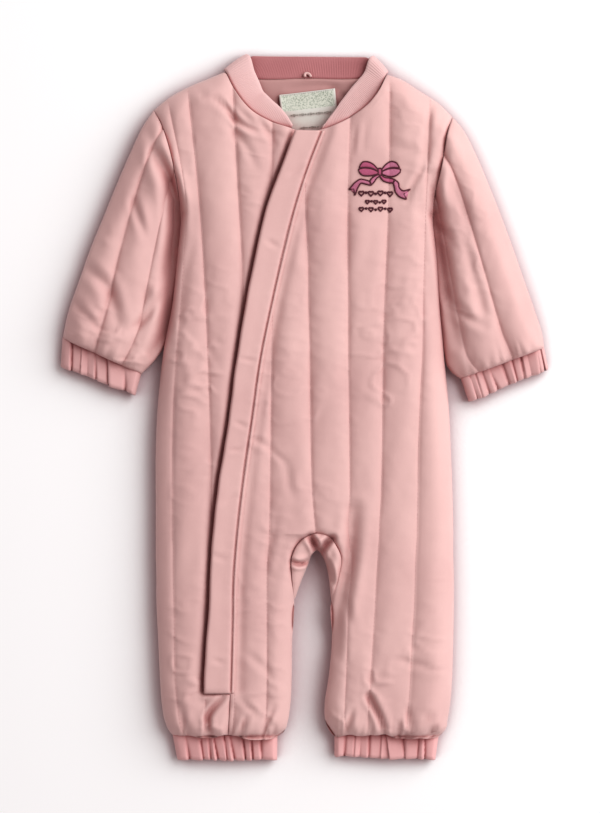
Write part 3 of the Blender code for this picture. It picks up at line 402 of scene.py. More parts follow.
def columns(*parts):
    """Rows of numbers, such as points, from their columns."""
    return np.column_stack(parts)


def eased(share):
    """From 0 to 1 with a soft start and a soft end."""
    share = np.clip(share, 0, 1)
    return share * share * (3 - 2 * share)


def rounded(share):
    """Rises from 0 to 1 like the side of a cushion."""
    return (1 - (1 - np.clip(share, 0, 1)) ** 2.3) ** (1 / 2.3)


def valley(gap, depth, width, sharpness=2):
    """How deep a trough of this depth and half width is, at this distance from its line."""
    return depth * np.exp(-((np.abs(gap) / width) ** sharpness))


def curve(knots, values, at):
    """A smooth curve through these values at these knots, read at other places."""
    knots = np.asarray(knots, float)
    values = np.asarray(values, float)
    slopes = np.gradient(values, knots, axis=0)
    i = np.clip(np.searchsorted(knots, at) - 1, 0, len(knots) - 2)
    span = knots[i + 1] - knots[i]
    t = np.clip((at - knots[i]) / span, 0, 1)
    if values.ndim > 1:
        span = span[..., None]
        t = t[..., None]
    near = (1 + 2 * t) * (1 - t) ** 2 * values[i] + t * (1 - t) ** 2 * span * slopes[i]
    far = t * t * (3 - 2 * t) * values[i + 1] + t * t * (t - 1) * span * slopes[i + 1]
    return near + far


def reached(points):
    """How far along a line each of its points is."""
    steps = np.linalg.norm(np.diff(np.asarray(points, float), axis=0), axis=1)
    return np.concatenate([[0], np.cumsum(steps)])


def along(points, shares):
    """Points at these shares of a line's length, on the smooth curve through its points."""
    far = reached(points)
    return curve(far, points, np.atleast_1d(shares) * far[-1])


def smooth(points, step=4.0):
    """The smooth curve through these points, as a line with a point about every step."""
    count = max(2, int(round(reached(points)[-1] / step)))
    return along(points, np.linspace(0, 1, count + 1))


def side_seam(column):
    """Points down a side of the body, on this column of the tables."""
    legs = RIGHT_LEG_ROWS if column == 1 else LEFT_LEG_ROWS
    return [(row[column], row[0]) for row in TORSO_ROWS] + [(row[column], row[0]) for row in legs]


OUTLINE = [
    smooth(line)
    for line in (
        side_seam(1),
        side_seam(-1),
        RIGHT_SHOULDER,
        LEFT_SHOULDER,
        INNER_LEGS,
        RIGHT_SLEEVE["outer"],
        RIGHT_SLEEVE["inner"],
        LEFT_SLEEVE["outer"],
        LEFT_SLEEVE["inner"],
    )
]
CUFF_SEAMS = (
    (RIGHT_SLEEVE["inner"][-1], RIGHT_SLEEVE["outer"][-1]),
    (LEFT_SLEEVE["inner"][-1], LEFT_SLEEVE["outer"][-1]),
    ANKLES["right"][:2],
    ANKLES["left"][:2],
)
RIGHT_ARCH = [(9.5, -102.5)] + [(row[-1], row[0]) for row in RIGHT_LEG_ROWS]
LEFT_ARCH = [(9.5, -102.5)] + [(row[1], row[0]) for row in LEFT_LEG_ROWS]
ARMHOLES = (smooth(RIGHT_ARMHOLE), smooth(LEFT_ARMHOLE))
GUSSET_SEAMS = (smooth(RIGHT_ARCH[:6], 2.0), smooth(LEFT_ARCH[:6], 2.0))


def distance_to(points, line):
    """The plan distance from each point to a line of straight runs, and how far along it that is."""
    points = np.asarray(points, float)
    best = np.full(len(points), np.inf)
    where = np.zeros(len(points))
    far = reached(line)
    for i, (start, end) in enumerate(zip(np.array(line[:-1], float), np.array(line[1:], float))):
        run = end - start
        share = np.clip((points - start) @ run / (run @ run), 0, 1)
        gap = np.hypot(*(points - start - share[:, None] * run).T)
        nearer = gap < best
        best = np.where(nearer, gap, best)
        where = np.where(nearer, far[i] + share * (far[i + 1] - far[i]), where)
    return best, where


KNOWN = {}


def nearest(points, lines):
    """The plan distance from each point to the nearest of these lines, worked out once."""
    points = np.ascontiguousarray(points, float)
    key = (points.tobytes(), id(lines))
    if key not in KNOWN:
        KNOWN[key] = np.min([distance_to(points, line)[0] for line in lines], axis=0)
    return KNOWN[key]


def noise(points, size, seed):
    """Smooth unevenness from -1 to 1, with humps about this far apart along x and y."""
    lattice = np.random.default_rng(seed).uniform(-1, 1, (256, 256))
    turned = np.asarray(points, float) @ np.array([[0.96, 0.28], [-0.28, 0.96]])
    grid = turned / np.array(size, float) + 128
    cell = np.floor(grid).astype(int)
    part = eased(grid - cell)
    a, b = (cell % 255).T
    low = lattice[a, b] * (1 - part[:, 0]) + lattice[a + 1, b] * part[:, 0]
    high = lattice[a, b + 1] * (1 - part[:, 0]) + lattice[a + 1, b + 1] * part[:, 0]
    return low * (1 - part[:, 1]) + high * part[:, 1]


# Heights of the cloth.


def seam_height(points):
    """Level of the seams round each piece, lower at the cuffs and where a sleeve goes under the body."""
    near_cuff = nearest(points, CUFF_SEAMS)
    level = CUFF_SEAM_HEIGHT + (SEAM_HEIGHT - CUFF_SEAM_HEIGHT) * eased(near_cuff / 45)
    return level - SLEEVE_DROP * tucked_in(points) * beside_body(points[:, 1])


def beside_body(y):
    """1 where a sleeve's inner side touches the body, fading to 0 at the armhole and the cuff."""
    return eased((186 - y) / 36) * eased((y - 34) / 30)


def quilting_lines(points):
    """x of the ten lines of the body at each point's y: side seams, quilting lines and inner legs."""
    y = points[:, 1]
    right = points[:, 0] < LEG_GAP_X
    lines = []
    for k, top in enumerate(zip(TOP_Y, TOP_X)):
        rows = [top] + [(row[0], row[k + 1]) for row in TORSO_ROWS]
        if k <= 4:
            rows += [(row[0], row[k + 1]) for row in RIGHT_LEG_ROWS]
        elif k >= 6:
            rows += [(row[0], row[k - 4]) for row in LEFT_LEG_ROWS]
        knots, values = np.array(rows[::-1]).T
        lines.append(curve(knots, values, y))
    in_legs = y < TORSO_ROWS[-1][0]
    inner = [curve(*np.array(arch)[::-1, ::-1].T, y) for arch in (RIGHT_ARCH, LEFT_ARCH)]
    lines[5] = np.where(in_legs, np.where(right, *inner), lines[5])
    return np.array(lines).T


def channel(points):
    """For each point, its place across its quilted channel from 0 to 1, and that channel's width."""
    lines = quilting_lines(points)
    k = np.clip((points[:, 0][:, None] >= lines).sum(axis=1) - 1, 0, 8)
    rows = np.arange(len(points))
    width = lines[rows, k + 1] - lines[rows, k]
    return np.clip((points[:, 0] - lines[rows, k]) / width, 0, 1), width


def puffs(points, across, width, seed):
    """Height of the quilted channels over their stitching, with the small puckers beside it."""
    inside = nearest(points, OUTLINE)
    height = np.minimum(PUFF_SHARE * width, MOST_PUFF) * (1 + 0.25 * noise(points, (14, 46), seed))
    crown = (1 - np.abs(2 * across - 1) ** 2.3) ** PUFF_SHARPNESS
    height *= 0.72 + 0.28 * eased((points[:, 1] + 130) / 140)
    beside = np.minimum(across, 1 - across) * width
    pull = beside / 3.2 * np.exp(1 - beside / 3.2)
    patchy = 0.6 + 0.6 * noise(points, (30, 40), seed + 2)
    quilted = height * crown + 0.34 * pull * noise(points, (13, 3.6), seed + 1) * patchy
    share, beyond_flap = flap_place(points)
    fade = np.where(share > 0.5, FREE_EDGE_FADE, FLAP_BED_FADE)
    quilted = FLAP_BED + (quilted - FLAP_BED) * eased(beyond_flap / fade)
    from_embroidery = np.linalg.norm((points - EMBROIDERY_MIDDLE) / (1.3, 1), axis=1)
    held = 0.6 * eased(1.5 - from_embroidery / EMBROIDERY_REACH)
    return quilted * eased(inside / 16) * (1 - held)


def creases(points, table):
    """Troughs and ridges along short lines, each with the small ridge that it pushes up beside it."""
    total = np.zeros(len(points))
    for depth, half, line in table:
        line = smooth(line, 2.0)
        low = line.min(axis=0) - 5 * half
        high = line.max(axis=0) + 5 * half
        near = np.flatnonzero(((points > low) & (points < high)).all(axis=1))
        if not len(near):
            continue
        gap, where = distance_to(points[near], line)
        share = where / reached(line)[-1]
        fade = np.sin(math.pi * np.clip(0.06 + 0.88 * share, 0, 1)) ** 0.6
        total[near] -= depth * fade * (valley(gap, 1, half) - valley(gap - 2.1 * half, 0.32, half))
    return total


def gathers(points, seed):
    """The short pleats that run out of the cuffs' seams into the cloth."""
    total = np.zeros(len(points))
    for k, seam in enumerate(CUFF_SEAMS):
        gap, where = distance_to(points, seam)
        fan = columns(where, gap * 0.3)
        pleats = noise(fan, (4.2, 14), seed + k) + 0.6 * noise(fan, (8.0, 20), seed + 10 + k)
        pleats = 1.1 - 2.2 * np.abs(np.clip(pleats, -1, 1)) ** 0.8
        total += pleats * valley(gap, 1.5, 11, 1.3) * eased((gap + 1.5) / 3)
    return total


def zip_x(y, column):
    """x of the flap's seam (column 1) or of its free edge (column 2) at each height."""
    knots = np.array([row[0] for row in ZIP_ROWS][::-1])
    return curve(knots, [row[column] for row in ZIP_ROWS][::-1], np.clip(y, knots[0], knots[-1]))


def flap_place(points):
    """Each point's place across the flap, from its seam (0) to its free edge (1), and how far
    outside the flap it is."""
    y = points[:, 1]
    seam = zip_x(y, 1)
    width = seam - zip_x(y, 2)
    share = (seam - points[:, 0]) / width
    outside = np.maximum(np.maximum(-share, share - 1) * width, 0)
    outside = np.maximum(outside, ZIP_ROWS[-1][0] - 3 - y)
    return share, outside


def beside_zip(points):
    """The front's dip under the flap, its troughs along both of the flap's sides, and the groove of
    the seam below it."""
    x, y = points.T
    share, _ = flap_place(points)
    along_flap = eased((y + 236) / 6)
    dip = valley(share - 0.66, 4.6, 0.56, 3)
    dip += valley(x - zip_x(y, 1) - 7.0, 1.7, 4.0)
    dip += valley(zip_x(y, 2) - x - 0.3, 4.2, 3.0, 2.5)
    off_seam = np.where(y < -231, x - closed_seam_x(y), 99.0)
    return -dip * along_flap - valley(off_seam, 1.3, 1.6) * (1 - along_flap)


def closed_seam_x(y):
    """x of the front seam that carries on below the zip."""
    (high, x0), (low, x1) = CLOSED_FRONT_SEAM
    return x0 + (x1 - x0) * np.clip((high - y) / (high - low), 0, 1)


def tucked_in(points):
    """1 on a sleeve beside the body, fading to 0 away from it."""
    y = points[:, 1]
    tucked = np.zeros(len(points))
    for sign, armhole, column in ((-1, RIGHT_ARMHOLE, 1), (1, LEFT_ARMHOLE, -1)):
        line = [(row[0], row[column]) for row in TORSO_ROWS[::-1]] + [(py, px) for px, py in armhole[1:]]
        knots, values = np.array(line).T
        beyond = sign * (points[:, 0] - np.interp(y, knots, values))
        near = eased(1 - beyond / 46) * eased((214 - y) / 60) * eased((y - 8) / 30)
        tucked = np.maximum(tucked, np.where(beyond > 0.15, near, 0))
    return tucked


def front_base(points):
    """The front's upper face before its quilting and creases."""
    inside = nearest(points, OUTLINE)
    beyond_body = np.clip((np.abs(points[:, 0]) - ARMHOLE_X) / 60, 0, 1)
    crown = BODY_CROWN - (BODY_CROWN - SLEEVE_CROWN) * beyond_body
    base = seam_height(points) + SEAM_EDGE
    pull = CUFF_PULL + (1 - CUFF_PULL) * rounded(nearest(points, CUFF_SEAMS) / CUFF_PULL_REACH)
    beside_gap = eased(1 - distance_to(points, INNER_LEGS)[0] / 30)
    tucked = tucked_in(points)
    rounding = FRONT_ROUNDING - GAP_ROUNDING * beside_gap + SLEEVE_TUCK * tucked
    return base + (crown - base - SLEEVE_SINK * tucked) * rounded(inside / rounding) * pull


def seam_dips(points):
    """The valleys along the armholes, the neckline and the gusset."""
    dips = valley(nearest(points, ARMHOLES), 2.6, 3.0, 1.3)
    dips += valley(nearest(points, GUSSET_SEAMS), 2.4, 2.6, 1.3)
    return dips + valley(distance_to(points, smooth(FRONT_NECKLINE))[0], 1.2, 3.0, 1.4)


def unevenness(points, seed):
    """Slack in the cloth: broad swells, soft wrinkles, and crisp small ones towards the cuffs."""
    inside = eased(nearest(points, OUTLINE) / 12)
    broad = 0.8 * noise(points, (34, 60), seed) + 0.34 * noise(points, (13, 19), seed + 1)
    crumpled = eased(1 - nearest(points, CUFF_SEAMS) / 130)
    folds = 1 - np.abs(noise(points, (19, 12), seed + 3) + 0.4 * noise(points, (8, 6), seed + 4)) * 2.6
    patchy = eased(0.45 + 1.3 * noise(points, (30, 40), seed + 5))
    crisp = (0.35 + 1.15 * crumpled) * patchy * np.maximum(folds, 0) ** 1.4
    return (broad + 0.14 * noise(points, (5, 7), seed + 2) + 1.5 * crisp) * inside


def front_face(points, across=None, width=None):
    """The upper face. Sleeves and gusset say where in their own channels the points are."""
    points = np.asarray(points, float)
    if across is None:
        across, width = channel(points)
    height = front_base(points) + puffs(points, across, width, 3) + unevenness(points, 20)
    height += creases(points, FRONT_CREASES) + gathers(points, 40) - seam_dips(points)
    return np.maximum(height, seam_height(points) + SEAM_GAP)


def lining_gap(inside):
    """Half the space between the two linings, this far inside the seams."""
    return SEAM_GAP / 2 + (LINING_GAP - SEAM_GAP) / 2 * eased(inside / 20)


def front_lining(points):
    """The fronts' inner face."""
    return seam_height(points) + lining_gap(nearest(points, OUTLINE))


def back_inside(points):
    """How far inside the back's seams and neckline each point is."""
    return np.minimum(nearest(points, OUTLINE), distance_to(points, BACK_NECKLINE)[0])


def back_lining(points):
    """The back's inner face."""
    return seam_height(points) - lining_gap(back_inside(points))


def back_face(points, across=None, width=None):
    """The underside: flat where it rests, with its quilting as grooves."""
    points = np.asarray(points, float)
    if across is None:
        across, width = channel(points)
    inside = back_inside(points)
    curl = (seam_height(points) - SEAM_EDGE) * (1 - rounded(inside / BACK_ROUNDING))
    beside = np.minimum(across, 1 - across) * width
    groove = valley(beside, 1.6, 3.0, 1.3) * eased(inside / 10)
    wrinkle = 0.5 * np.maximum(0, noise(points, (16, 30), 60)) * eased(inside / 14)
    return curl + groove + wrinkle


# Meshes.


def add_object(name, data):
    obj = bpy.data.objects.new(name, data)
    bpy.context.scene.collection.objects.link(obj)
    return obj


def add_piece(name, verts, faces, node, slot, look):
    """An object from points in mm, which stands for a CAD node, or for none."""
    mesh = bpy.data.meshes.new(name)
    mesh.from_pydata((np.asarray(verts, float) * MM).tolist(), [], faces)
    mesh.validate()
    mesh.materials.append(look)
    mesh.shade_smooth()
    obj = add_object(name, mesh)
    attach(obj, "root")
    if node:
        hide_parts(node)
    return obj


def add_look(obj, look, chosen):
    """Gives the chosen faces of a piece a second material."""
    obj.data.materials.append(look)
    obj.data.polygons.foreach_set("material_index", [int(picked) for picked in chosen])


def slab(plan, quads, top, bottom):
    """Points and faces of a wall between two heights over the same plan, closed round its edge."""
    count = len(plan)
    verts = np.vstack([columns(plan, top), columns(plan, bottom)])
    faces = [tuple(quad) for quad in quads]
    faces += [tuple(count + i for i in reversed(quad)) for quad in quads]
    edges = set()
    for quad in quads:
        edges.update(zip(quad, quad[1:] + quad[:1]))
    faces += [(b, a, count + a, count + b) for a, b in edges if (b, a) not in edges]
    return verts, faces


def bands(starts, count):
    """The faces between each closed ring of this many points and the next, from where each starts."""
    return [
        (low + i, low + (i + 1) % count, high + (i + 1) % count, high + i)
        for low, high in zip(starts, starts[1:])
        for i in range(count)
    ]


def tube(outer, inner):
    """A wall between two surfaces, each through closed rings, open at both ends."""
    rings = [*inner[::-1], *outer]
    count = len(rings[0])
    starts = [k * count for k in reversed(range(len(rings)))]
    return np.reshape(rings, (-1, 3)), bands(starts + starts[:1], count)


def loft(sections):
    """A solid through closed sections of equal point counts, capped at both ends."""
    count = len(sections[0])
    total = len(sections) * count
    ends = [tuple(reversed(range(count))), tuple(range(total - count, total))]
    return np.reshape(sections, (-1, 3)), bands(range(0, total, count), count) + ends


def spaced(width, cell):
    """Shares across a channel, closer together at its ends, where the stitching pulls it down."""
    t = np.linspace(0, 1, max(4, int(round(width / cell))) + 1)
    return t - 0.07 * np.sin(2 * math.pi * t)


def body_plan(neckline, cell):
    """Plan points and quads of a whole front or back with its two legs."""
    shares = [spaced(TORSO_ROWS[3][k + 2] - TORSO_ROWS[3][k + 1], cell) for k in range(9)]

    def spread(lines, ks=range(9)):
        lines = np.asarray(lines, float)
        out = [lines[..., i, None] * (1 - shares[k][:-1]) + lines[..., i + 1, None] * shares[k][:-1]
               for i, k in enumerate(ks)]
        return np.concatenate(out + [lines[..., -1:]], axis=-1)

    low = TORSO_ROWS[0][0]
    outline = np.vstack(
        [smooth(RIGHT_SHOULDER, 3.0), smooth(neckline, 3.0)[1:], smooth(LEFT_SHOULDER, 3.0)[1:]]
    )
    low_x = spread(TORSO_ROWS[0][1:])
    top_x = spread(TOP_X)
    top_y = np.interp(top_x, outline[:, 0], outline[:, 1])
    line_tops = np.interp(TOP_X, outline[:, 0], outline[:, 1])
    sides = spread([-1.0] + [0.0] * 8 + [1.0])
    rows = []
    # From the shoulders to the underarms, where the sides bend in to the armholes.
    for share in np.linspace(1, 0, int((max(top_y) - low) / cell) + 1)[:-1]:
        y = low + (top_y - low) * share
        line_y = low + (line_tops - low) * share
        at = columns(0 * line_y, line_y)
        straight = np.array(TORSO_ROWS[0][1:]) * (1 - share) + np.array(TOP_X) * share
        bow = np.diag(quilting_lines(at)) - straight
        bow[[0, -1]] = 0
        x = low_x + (top_x - low_x) * share + spread(bow)
        for sign, armhole in ((-1, RIGHT_ARMHOLE), (1, LEFT_ARMHOLE)):
            column = 0 if sign < 0 else -1
            bend = along(armhole, share)[0] - (x[column], y[column])
            weight = np.clip(sign * sides, 0, 1)
            x = x + bend[0] * weight
            y = y + bend[1] * weight
        rows.append(columns(x, y))
    # From the underarms to the crotch.
    torso_end = TORSO_ROWS[-1][0]
    for y in np.linspace(low, torso_end, int((low - torso_end) / cell) + 1):
        lines = quilting_lines(np.array([(0.0, y)]))[0]
        if y == torso_end:
            lines[5] = TORSO_ROWS[-1][6]
        x = spread(lines)
        rows.append(columns(x, np.full(len(x), y)))
    torso = np.array(rows)
    split = sum(len(shares[k]) - 1 for k in range(5))
    points = torso.reshape(-1, 2)
    width = torso.shape[1]
    quads = []
    for r in range(len(torso) - 1):
        for c in range(width - 1):
            a = r * width + c
            quads.append((a + width, a + width + 1, a + 1, a))
    # The legs: arch, channels, their lines, the row above, and on which side of the gap they are.
    last = (len(torso) - 1) * width
    legs = (
        (RIGHT_ARCH, range(5), slice(0, 6), last, -1.0),
        (LEFT_ARCH, range(5, 9), slice(5, 10), last + split, 1.0),
    )
    for arch, ks, part, above, side in legs:
        edge = smooth(arch, cell)[1:]
        lines = quilting_lines(columns(LEG_GAP_X + side + 0 * edge[:, 0], edge[:, 1]))[:, part]
        lines[:, -1 if side < 0 else 0] = edge[:, 0]
        x = spread(lines, ks)
        y = np.repeat(edge[:, 1:], x.shape[1], axis=1)
        y = y + ankle_wave(x) * np.clip((-250 - y) / 19, 0, 1)
        count = x.shape[1]
        for row in np.stack([x, y], axis=-1):
            start = len(points)
            points = np.vstack([points, row])
            for c in range(count - 1):
                quads.append((start + c, start + c + 1, above + c + 1, above + c))
            above = start
    return points, quads


def ankle_wave(x):
    """How the leg's lower edge rises and falls over its cuff."""
    plan = columns(x.ravel(), 0 * x.ravel())
    return (2.2 * noise(plan, (9, 9), 71) + 1.4 * noise(plan, (21, 21), 72)).reshape(x.shape)


def merged(plan, quads):
    """The same faces with points that coincide made one, and faces that have collapsed left out."""
    _, first, index = np.unique(np.round(plan, 3), axis=0, return_index=True, return_inverse=True)
    index = index.reshape(-1)
    kept = []
    for quad in quads:
        corners = [index[i] for i in quad]
        face = [int(c) for i, c in enumerate(corners) if c != corners[i - 1]]
        if len(set(face)) == len(face) and len(face) > 2:
            kept.append(tuple(face))
    return plan[first], kept


def trimmed(plan, quads, side):
    """One front: the part of the whole front on this side of the zip, right to the zip's edge."""
    y = plan[:, 1]
    offset = side * (ZIP_HALF + 2 * SEAM_GAP) - ZIP_INSET
    edge = np.where(y > -233, zip_x(y, 1) + offset, closed_seam_x(y) + side * SEAM_GAP / 2)
    beyond = side * (edge - plan[:, 0]) > 0
    plan = plan.copy()
    plan[beyond, 0] = edge[beyond]
    quads = [quad for quad in quads if not all(beyond[i] for i in quad)]
    used = sorted({i for quad in quads for i in quad})
    renumber = {old: new for new, old in enumerate(used)}
    return merged(plan[used], [tuple(renumber[i] for i in quad) for quad in quads])


def line_with(obj, look, facing):
    """Gives the lining's faces, which look up or down, their own cloth: a darker copy of the shell cotton,
    painted shade for the shaded neck opening.
    """
    normals, centres = np.empty((2, len(obj.data.polygons) * 3))
    obj.data.polygons.foreach_get("normal", normals)
    obj.data.polygons.foreach_get("center", centres)
    inside = nearest(centres.reshape(-1, 3)[:, :2] / MM, OUTLINE) > LINING_FROM
    add_look(obj, look, inside & (normals[2::3] * facing > 0.3))
    return obj


def build_fronts(look, inside):
    """Both fronts, with the level edges under the flap."""
    plan, quads = body_plan(FRONT_NECKLINE, BODY_CELL)
    made = []
    for name, side in (("front_left", 1), ("front_right", -1)):
        part, faces = trimmed(plan, quads, side)
        top = front_face(part) + beside_zip(part)
        low = front_lining(part)
        verts, faces = slab(part, faces, np.maximum(top, low + 0.6), low)
        made.append(line_with(add_piece(name + "_cloth", verts, faces, name, "shell", look), inside, -1))
    return made


def build_back(look, inside):
    """The back, with its creased lining at the neck."""
    plan, quads = body_plan(BACK_NECKLINE, BACK_CELL)
    verts, faces = slab(plan, quads, back_lining(plan) + creases(plan, BACK_CREASES), back_face(plan))
    return line_with(add_piece("back_cloth", verts, faces, "back", "shell", look), inside, 1)


def patch(side_a, side_b, start, end, across, lengths):
    """Plan points between four curves, across[k][i] of the way from side_a to side_b at each length."""
    corners = [np.array(p, float) for p in (start[0], start[-1], end[0], end[-1])]
    starts = along(start, across[0])
    rows = []
    for shares, length in zip(across, lengths):
        shares = np.asarray(shares)[:, None]
        a = along(side_a, length)
        b = along(side_b, length)
        finish = np.array(end[0]) * (1 - shares) + np.array(end[-1]) * shares
        ends = starts * (1 - length) + finish * length
        flat = (corners[0] * (1 - shares) + corners[1] * shares) * (1 - length)
        flat = flat + (corners[2] * (1 - shares) + corners[3] * shares) * length
        rows.append(a + (b - a) * shares + ends - flat)
    return rows


def build_sleeve(side, cut, armhole, sign, look):
    """A padded tube from the armhole to the cuff's seam, open at both ends."""
    lengths = np.linspace(0, 1, SLEEVE_ROWS)
    parts = [spaced(90 * (b[0] - a[0]), SLEEVE_CELL) for a, b in zip(cut["lines"], cut["lines"][1:])]
    across = []
    places = []
    widths = []
    for length in lengths:
        lines = [a + (b - a) * length for a, b in cut["lines"]]
        channels = list(zip(parts, lines, lines[1:]))
        row = [low + (high - low) * part[:-1] for part, low, high in channels]
        across.append(np.concatenate(row + [[1.0]]))
        places.append(np.concatenate([part[:-1] for part in parts] + [[1.0]]))
        spans = [np.full(len(part) - 1, high - low) for part, low, high in channels]
        widths.append(np.concatenate(spans + [spans[-1][-1:]]) * 88)
    start = [(x + sign * SEAM_GAP * 1.1, y) for x, y in armhole]
    inner = [start[0]] + list(cut["inner"][1:])
    outer = [start[-1]] + list(cut["outer"][1:])
    end = (cut["inner"][-1], cut["outer"][-1])
    plans = patch(inner, outer, start, end, across, lengths)
    wall = 3.0 / np.linalg.norm(np.subtract(*end))
    linings = patch(inner, outer, start, end, [wall + row * (1 - 2 * wall) for row in across], lengths)
    count = len(across[0])
    plan = np.vstack(plans)
    lining = np.vstack(linings)
    place = np.concatenate(places)
    width = np.concatenate(widths)
    edges = np.tile(np.isin(np.arange(count), (0, count - 1)), len(lengths))
    level = seam_height(plan)
    upper = np.where(edges, level, front_face(plan, place, width))
    lower = np.minimum(back_face(plan, place, width), level - 0.2)
    ceiling = np.where(edges, seam_height(lining), front_lining(lining))
    floor = back_lining(lining)
    rings = []
    for points, high, low in ((plan, upper, lower), (lining, ceiling, floor)):
        under_body = SLEEVE_UNDER * tucked_in(points) ** 6 * beside_body(points[:, 1] + 6)
        points = points - sign * under_body[:, None] * (1, 0)
        top = columns(points, high).reshape(len(lengths), count, 3)
        under = columns(points, low).reshape(len(lengths), count, 3)[:, -2:0:-1]
        rings.append(np.concatenate([top, under], axis=1))
    verts, faces = tube(*rings)
    if sign > 0:
        faces = [tuple(reversed(face)) for face in faces]
    return add_piece("sleeve_" + side + "_cloth", verts, faces, "sleeve_" + side, "shell", look)


def build_cuff(name, seam, hem, pitch, seed, look):
    """An elastic cuff: gathers with round ridges and sharp valleys that run unevenly from seam to hem."""
    seam = np.array(seam, float)
    hem = np.array(hem, float)
    out = hem.mean(axis=0) - seam.mean(axis=0)
    out = out / np.linalg.norm(out)
    seam = seam + out * SEAM_GAP - out * 1.2
    width = np.linalg.norm(seam[1] - seam[0])
    draws = np.random.default_rng(seed)
    pleats = int(width / pitch)
    shares = np.linspace(0, 1, int(width / CUFF_CELL) + 1)
    phases = []
    for _ in range(2):
        gaps = draws.uniform(0.3, 1.0, pleats) ** 1.6 + 0.12
        knots = np.concatenate([[0], np.cumsum(gaps)]) / gaps.sum()
        phases.append(np.interp(shares, knots, range(pleats + 1)))
    # The folds' places at the hem stay near those at the seam, so that none leans far.
    phases[1] = 0.72 * phases[0] + 0.28 * phases[1]
    sizes = draws.uniform(0.3, 1.5, pleats + 1)
    leans = draws.random(pleats + 1) < 0.7
    depths = 1.5 * draws.random((2, pleats + 1)) ** 1.6
    outer = []
    inner = []
    for length in np.linspace(0, 1, CUFF_ROWS):
        phase = phases[0] * (1 - length) + phases[1] * length
        which = np.clip(np.floor(phase).astype(int), 0, pleats - 1)
        beside = phase - which
        slope = np.where(leans[which], beside, 1 - beside)
        nearest_fold = np.round(phase).astype(int)
        fold = valley((phase - nearest_fold) * pitch, 1, 0.9, 1.4)
        deep = depths[0][nearest_fold] * (1 - length) + depths[1][nearest_fold] * length
        ridge = 0.55 + 1.0 * slope * sizes[which] - 1.3 * deep * fold
        swell = 0.88 + 0.12 * math.sin(math.pi * length) - 0.34 * max(0, length - 0.9) / 0.1
        ends = seam + (hem - seam) * length
        beyond = 0.9 * (ridge - 0.6) * length + 0.5 * np.sin(9 * shares + seed) * length
        plan = ends[0] + (ends[1] - ends[0]) * shares[:, None] + out * beyond[:, None]
        near_edge = np.minimum(shares, 1 - shares) * width
        fade = eased(near_edge / 4)
        waist = CUFF_RISE * swell * rounded(near_edge / CUFF_ROUND)
        upper = CUFF_SEAM_HEIGHT + waist + (1.9 * ridge - 1.0) * fade * (0.75 + 0.35 * length)
        lower = CUFF_SEAM_HEIGHT - CUFF_SEAM_HEIGHT * rounded(near_edge / CUFF_ROUND)
        lower = np.clip(lower + np.maximum(1.4 * (1 - ridge) * fade, 0), 0, CUFF_SEAM_HEIGHT - 0.2)
        upper[[0, -1]] = CUFF_SEAM_HEIGHT
        outer.append(np.vstack([columns(plan, upper), columns(plan, lower)[-2:0:-1]]))
        drawn = 2.5 / width + shares * (1 - 5.0 / width)
        core = ends[0] + (ends[1] - ends[0]) * drawn[:, None] - out * 0.3 * length
        slack = CUFF_LINING_GAP / 2 * fade
        ceiling = columns(core, CUFF_SEAM_HEIGHT + slack)
        floor = columns(core, CUFF_SEAM_HEIGHT - slack)[-2:0:-1]
        inner.append(np.vstack([ceiling, floor]))
    verts, faces = tube(outer, inner)
    facing = (seam[1] - seam[0])[0] * out[1] - (seam[1] - seam[0])[1] * out[0]
    if facing < 0:
        faces = [tuple(reversed(face)) for face in faces]
    return add_piece(name + "_cloth", verts, faces, name, "shell", look)


def build_gusset(look):
    """The padded strip round the gap between the legs."""
    arch = np.vstack([np.array(RIGHT_ARCH[:6])[::-1], np.array(LEFT_ARCH[1:6])])
    crotch = INNER_LEGS[5:14]
    sections = []
    for step in np.linspace(0.005, 0.995, GUSSET_ROWS):
        seam = along(arch, step)[0]
        fold = along(crotch, step)[0]
        reach = np.linalg.norm(fold - seam)
        away = (fold - seam) / max(reach, 0.5)
        seam = seam + away * min(SEAM_GAP, reach * 0.2)
        outer = seam + (fold - seam) * np.linspace(0, 1, 15)[:, None]
        inner = seam + (fold - seam) * np.linspace(0, 0.6, 4)[:, None]
        level = seam_height(outer)
        mid_channel = (np.full(15, 0.5), np.full(15, 20.0))
        top = front_face(outer, *mid_channel)
        top[-1] = level[-1]
        low = np.minimum(back_face(outer, *mid_channel), level - 0.2)
        ceiling = np.minimum(front_lining(inner), top[:4] - 0.6)
        floor = np.maximum(back_lining(inner), low[:4] + 0.6)
        floor = np.minimum(floor, ceiling - 0.2)
        upper = columns(outer, top)
        under = columns(outer, low)[-2::-1]
        inside = np.vstack([columns(inner, floor), columns(inner, ceiling)[::-1]])
        sections.append(np.vstack([upper, under, inside]))
    verts, faces = loft(sections)
    return add_piece("gusset_cloth", verts, faces, "gusset", "shell", look)


# Collar.


def collar_frame():
    """Seam points and free-edge points of the collar, row by row."""
    folds = {"right_fold": (RIGHT_SHOULDER[-1], -1.2), "left_fold": (LEFT_SHOULDER[0], 1.2)}
    seams = []
    edges = []
    for line, share, height, *edge in COLLAR_ROWS:
        if line in folds:
            (x, y), swell = folds[line]
            sewn = np.array([x + swell, y + abs(swell)])
        else:
            sewn = along(FRONT_NECKLINE if line == "front" else BACK_NECKLINE, share)[0]
        away = np.array(edge[:2]) - sewn
        sewn = sewn + away / np.linalg.norm(away) * 0.4
        seams.append([*sewn, height])
        lift = FRONT_COLLAR_LIFT * (line == "front") * eased((edge[2] - 13) / 4)
        edges.append([edge[0], edge[1], edge[2] + lift])
    return np.array(seams), np.array(edges)


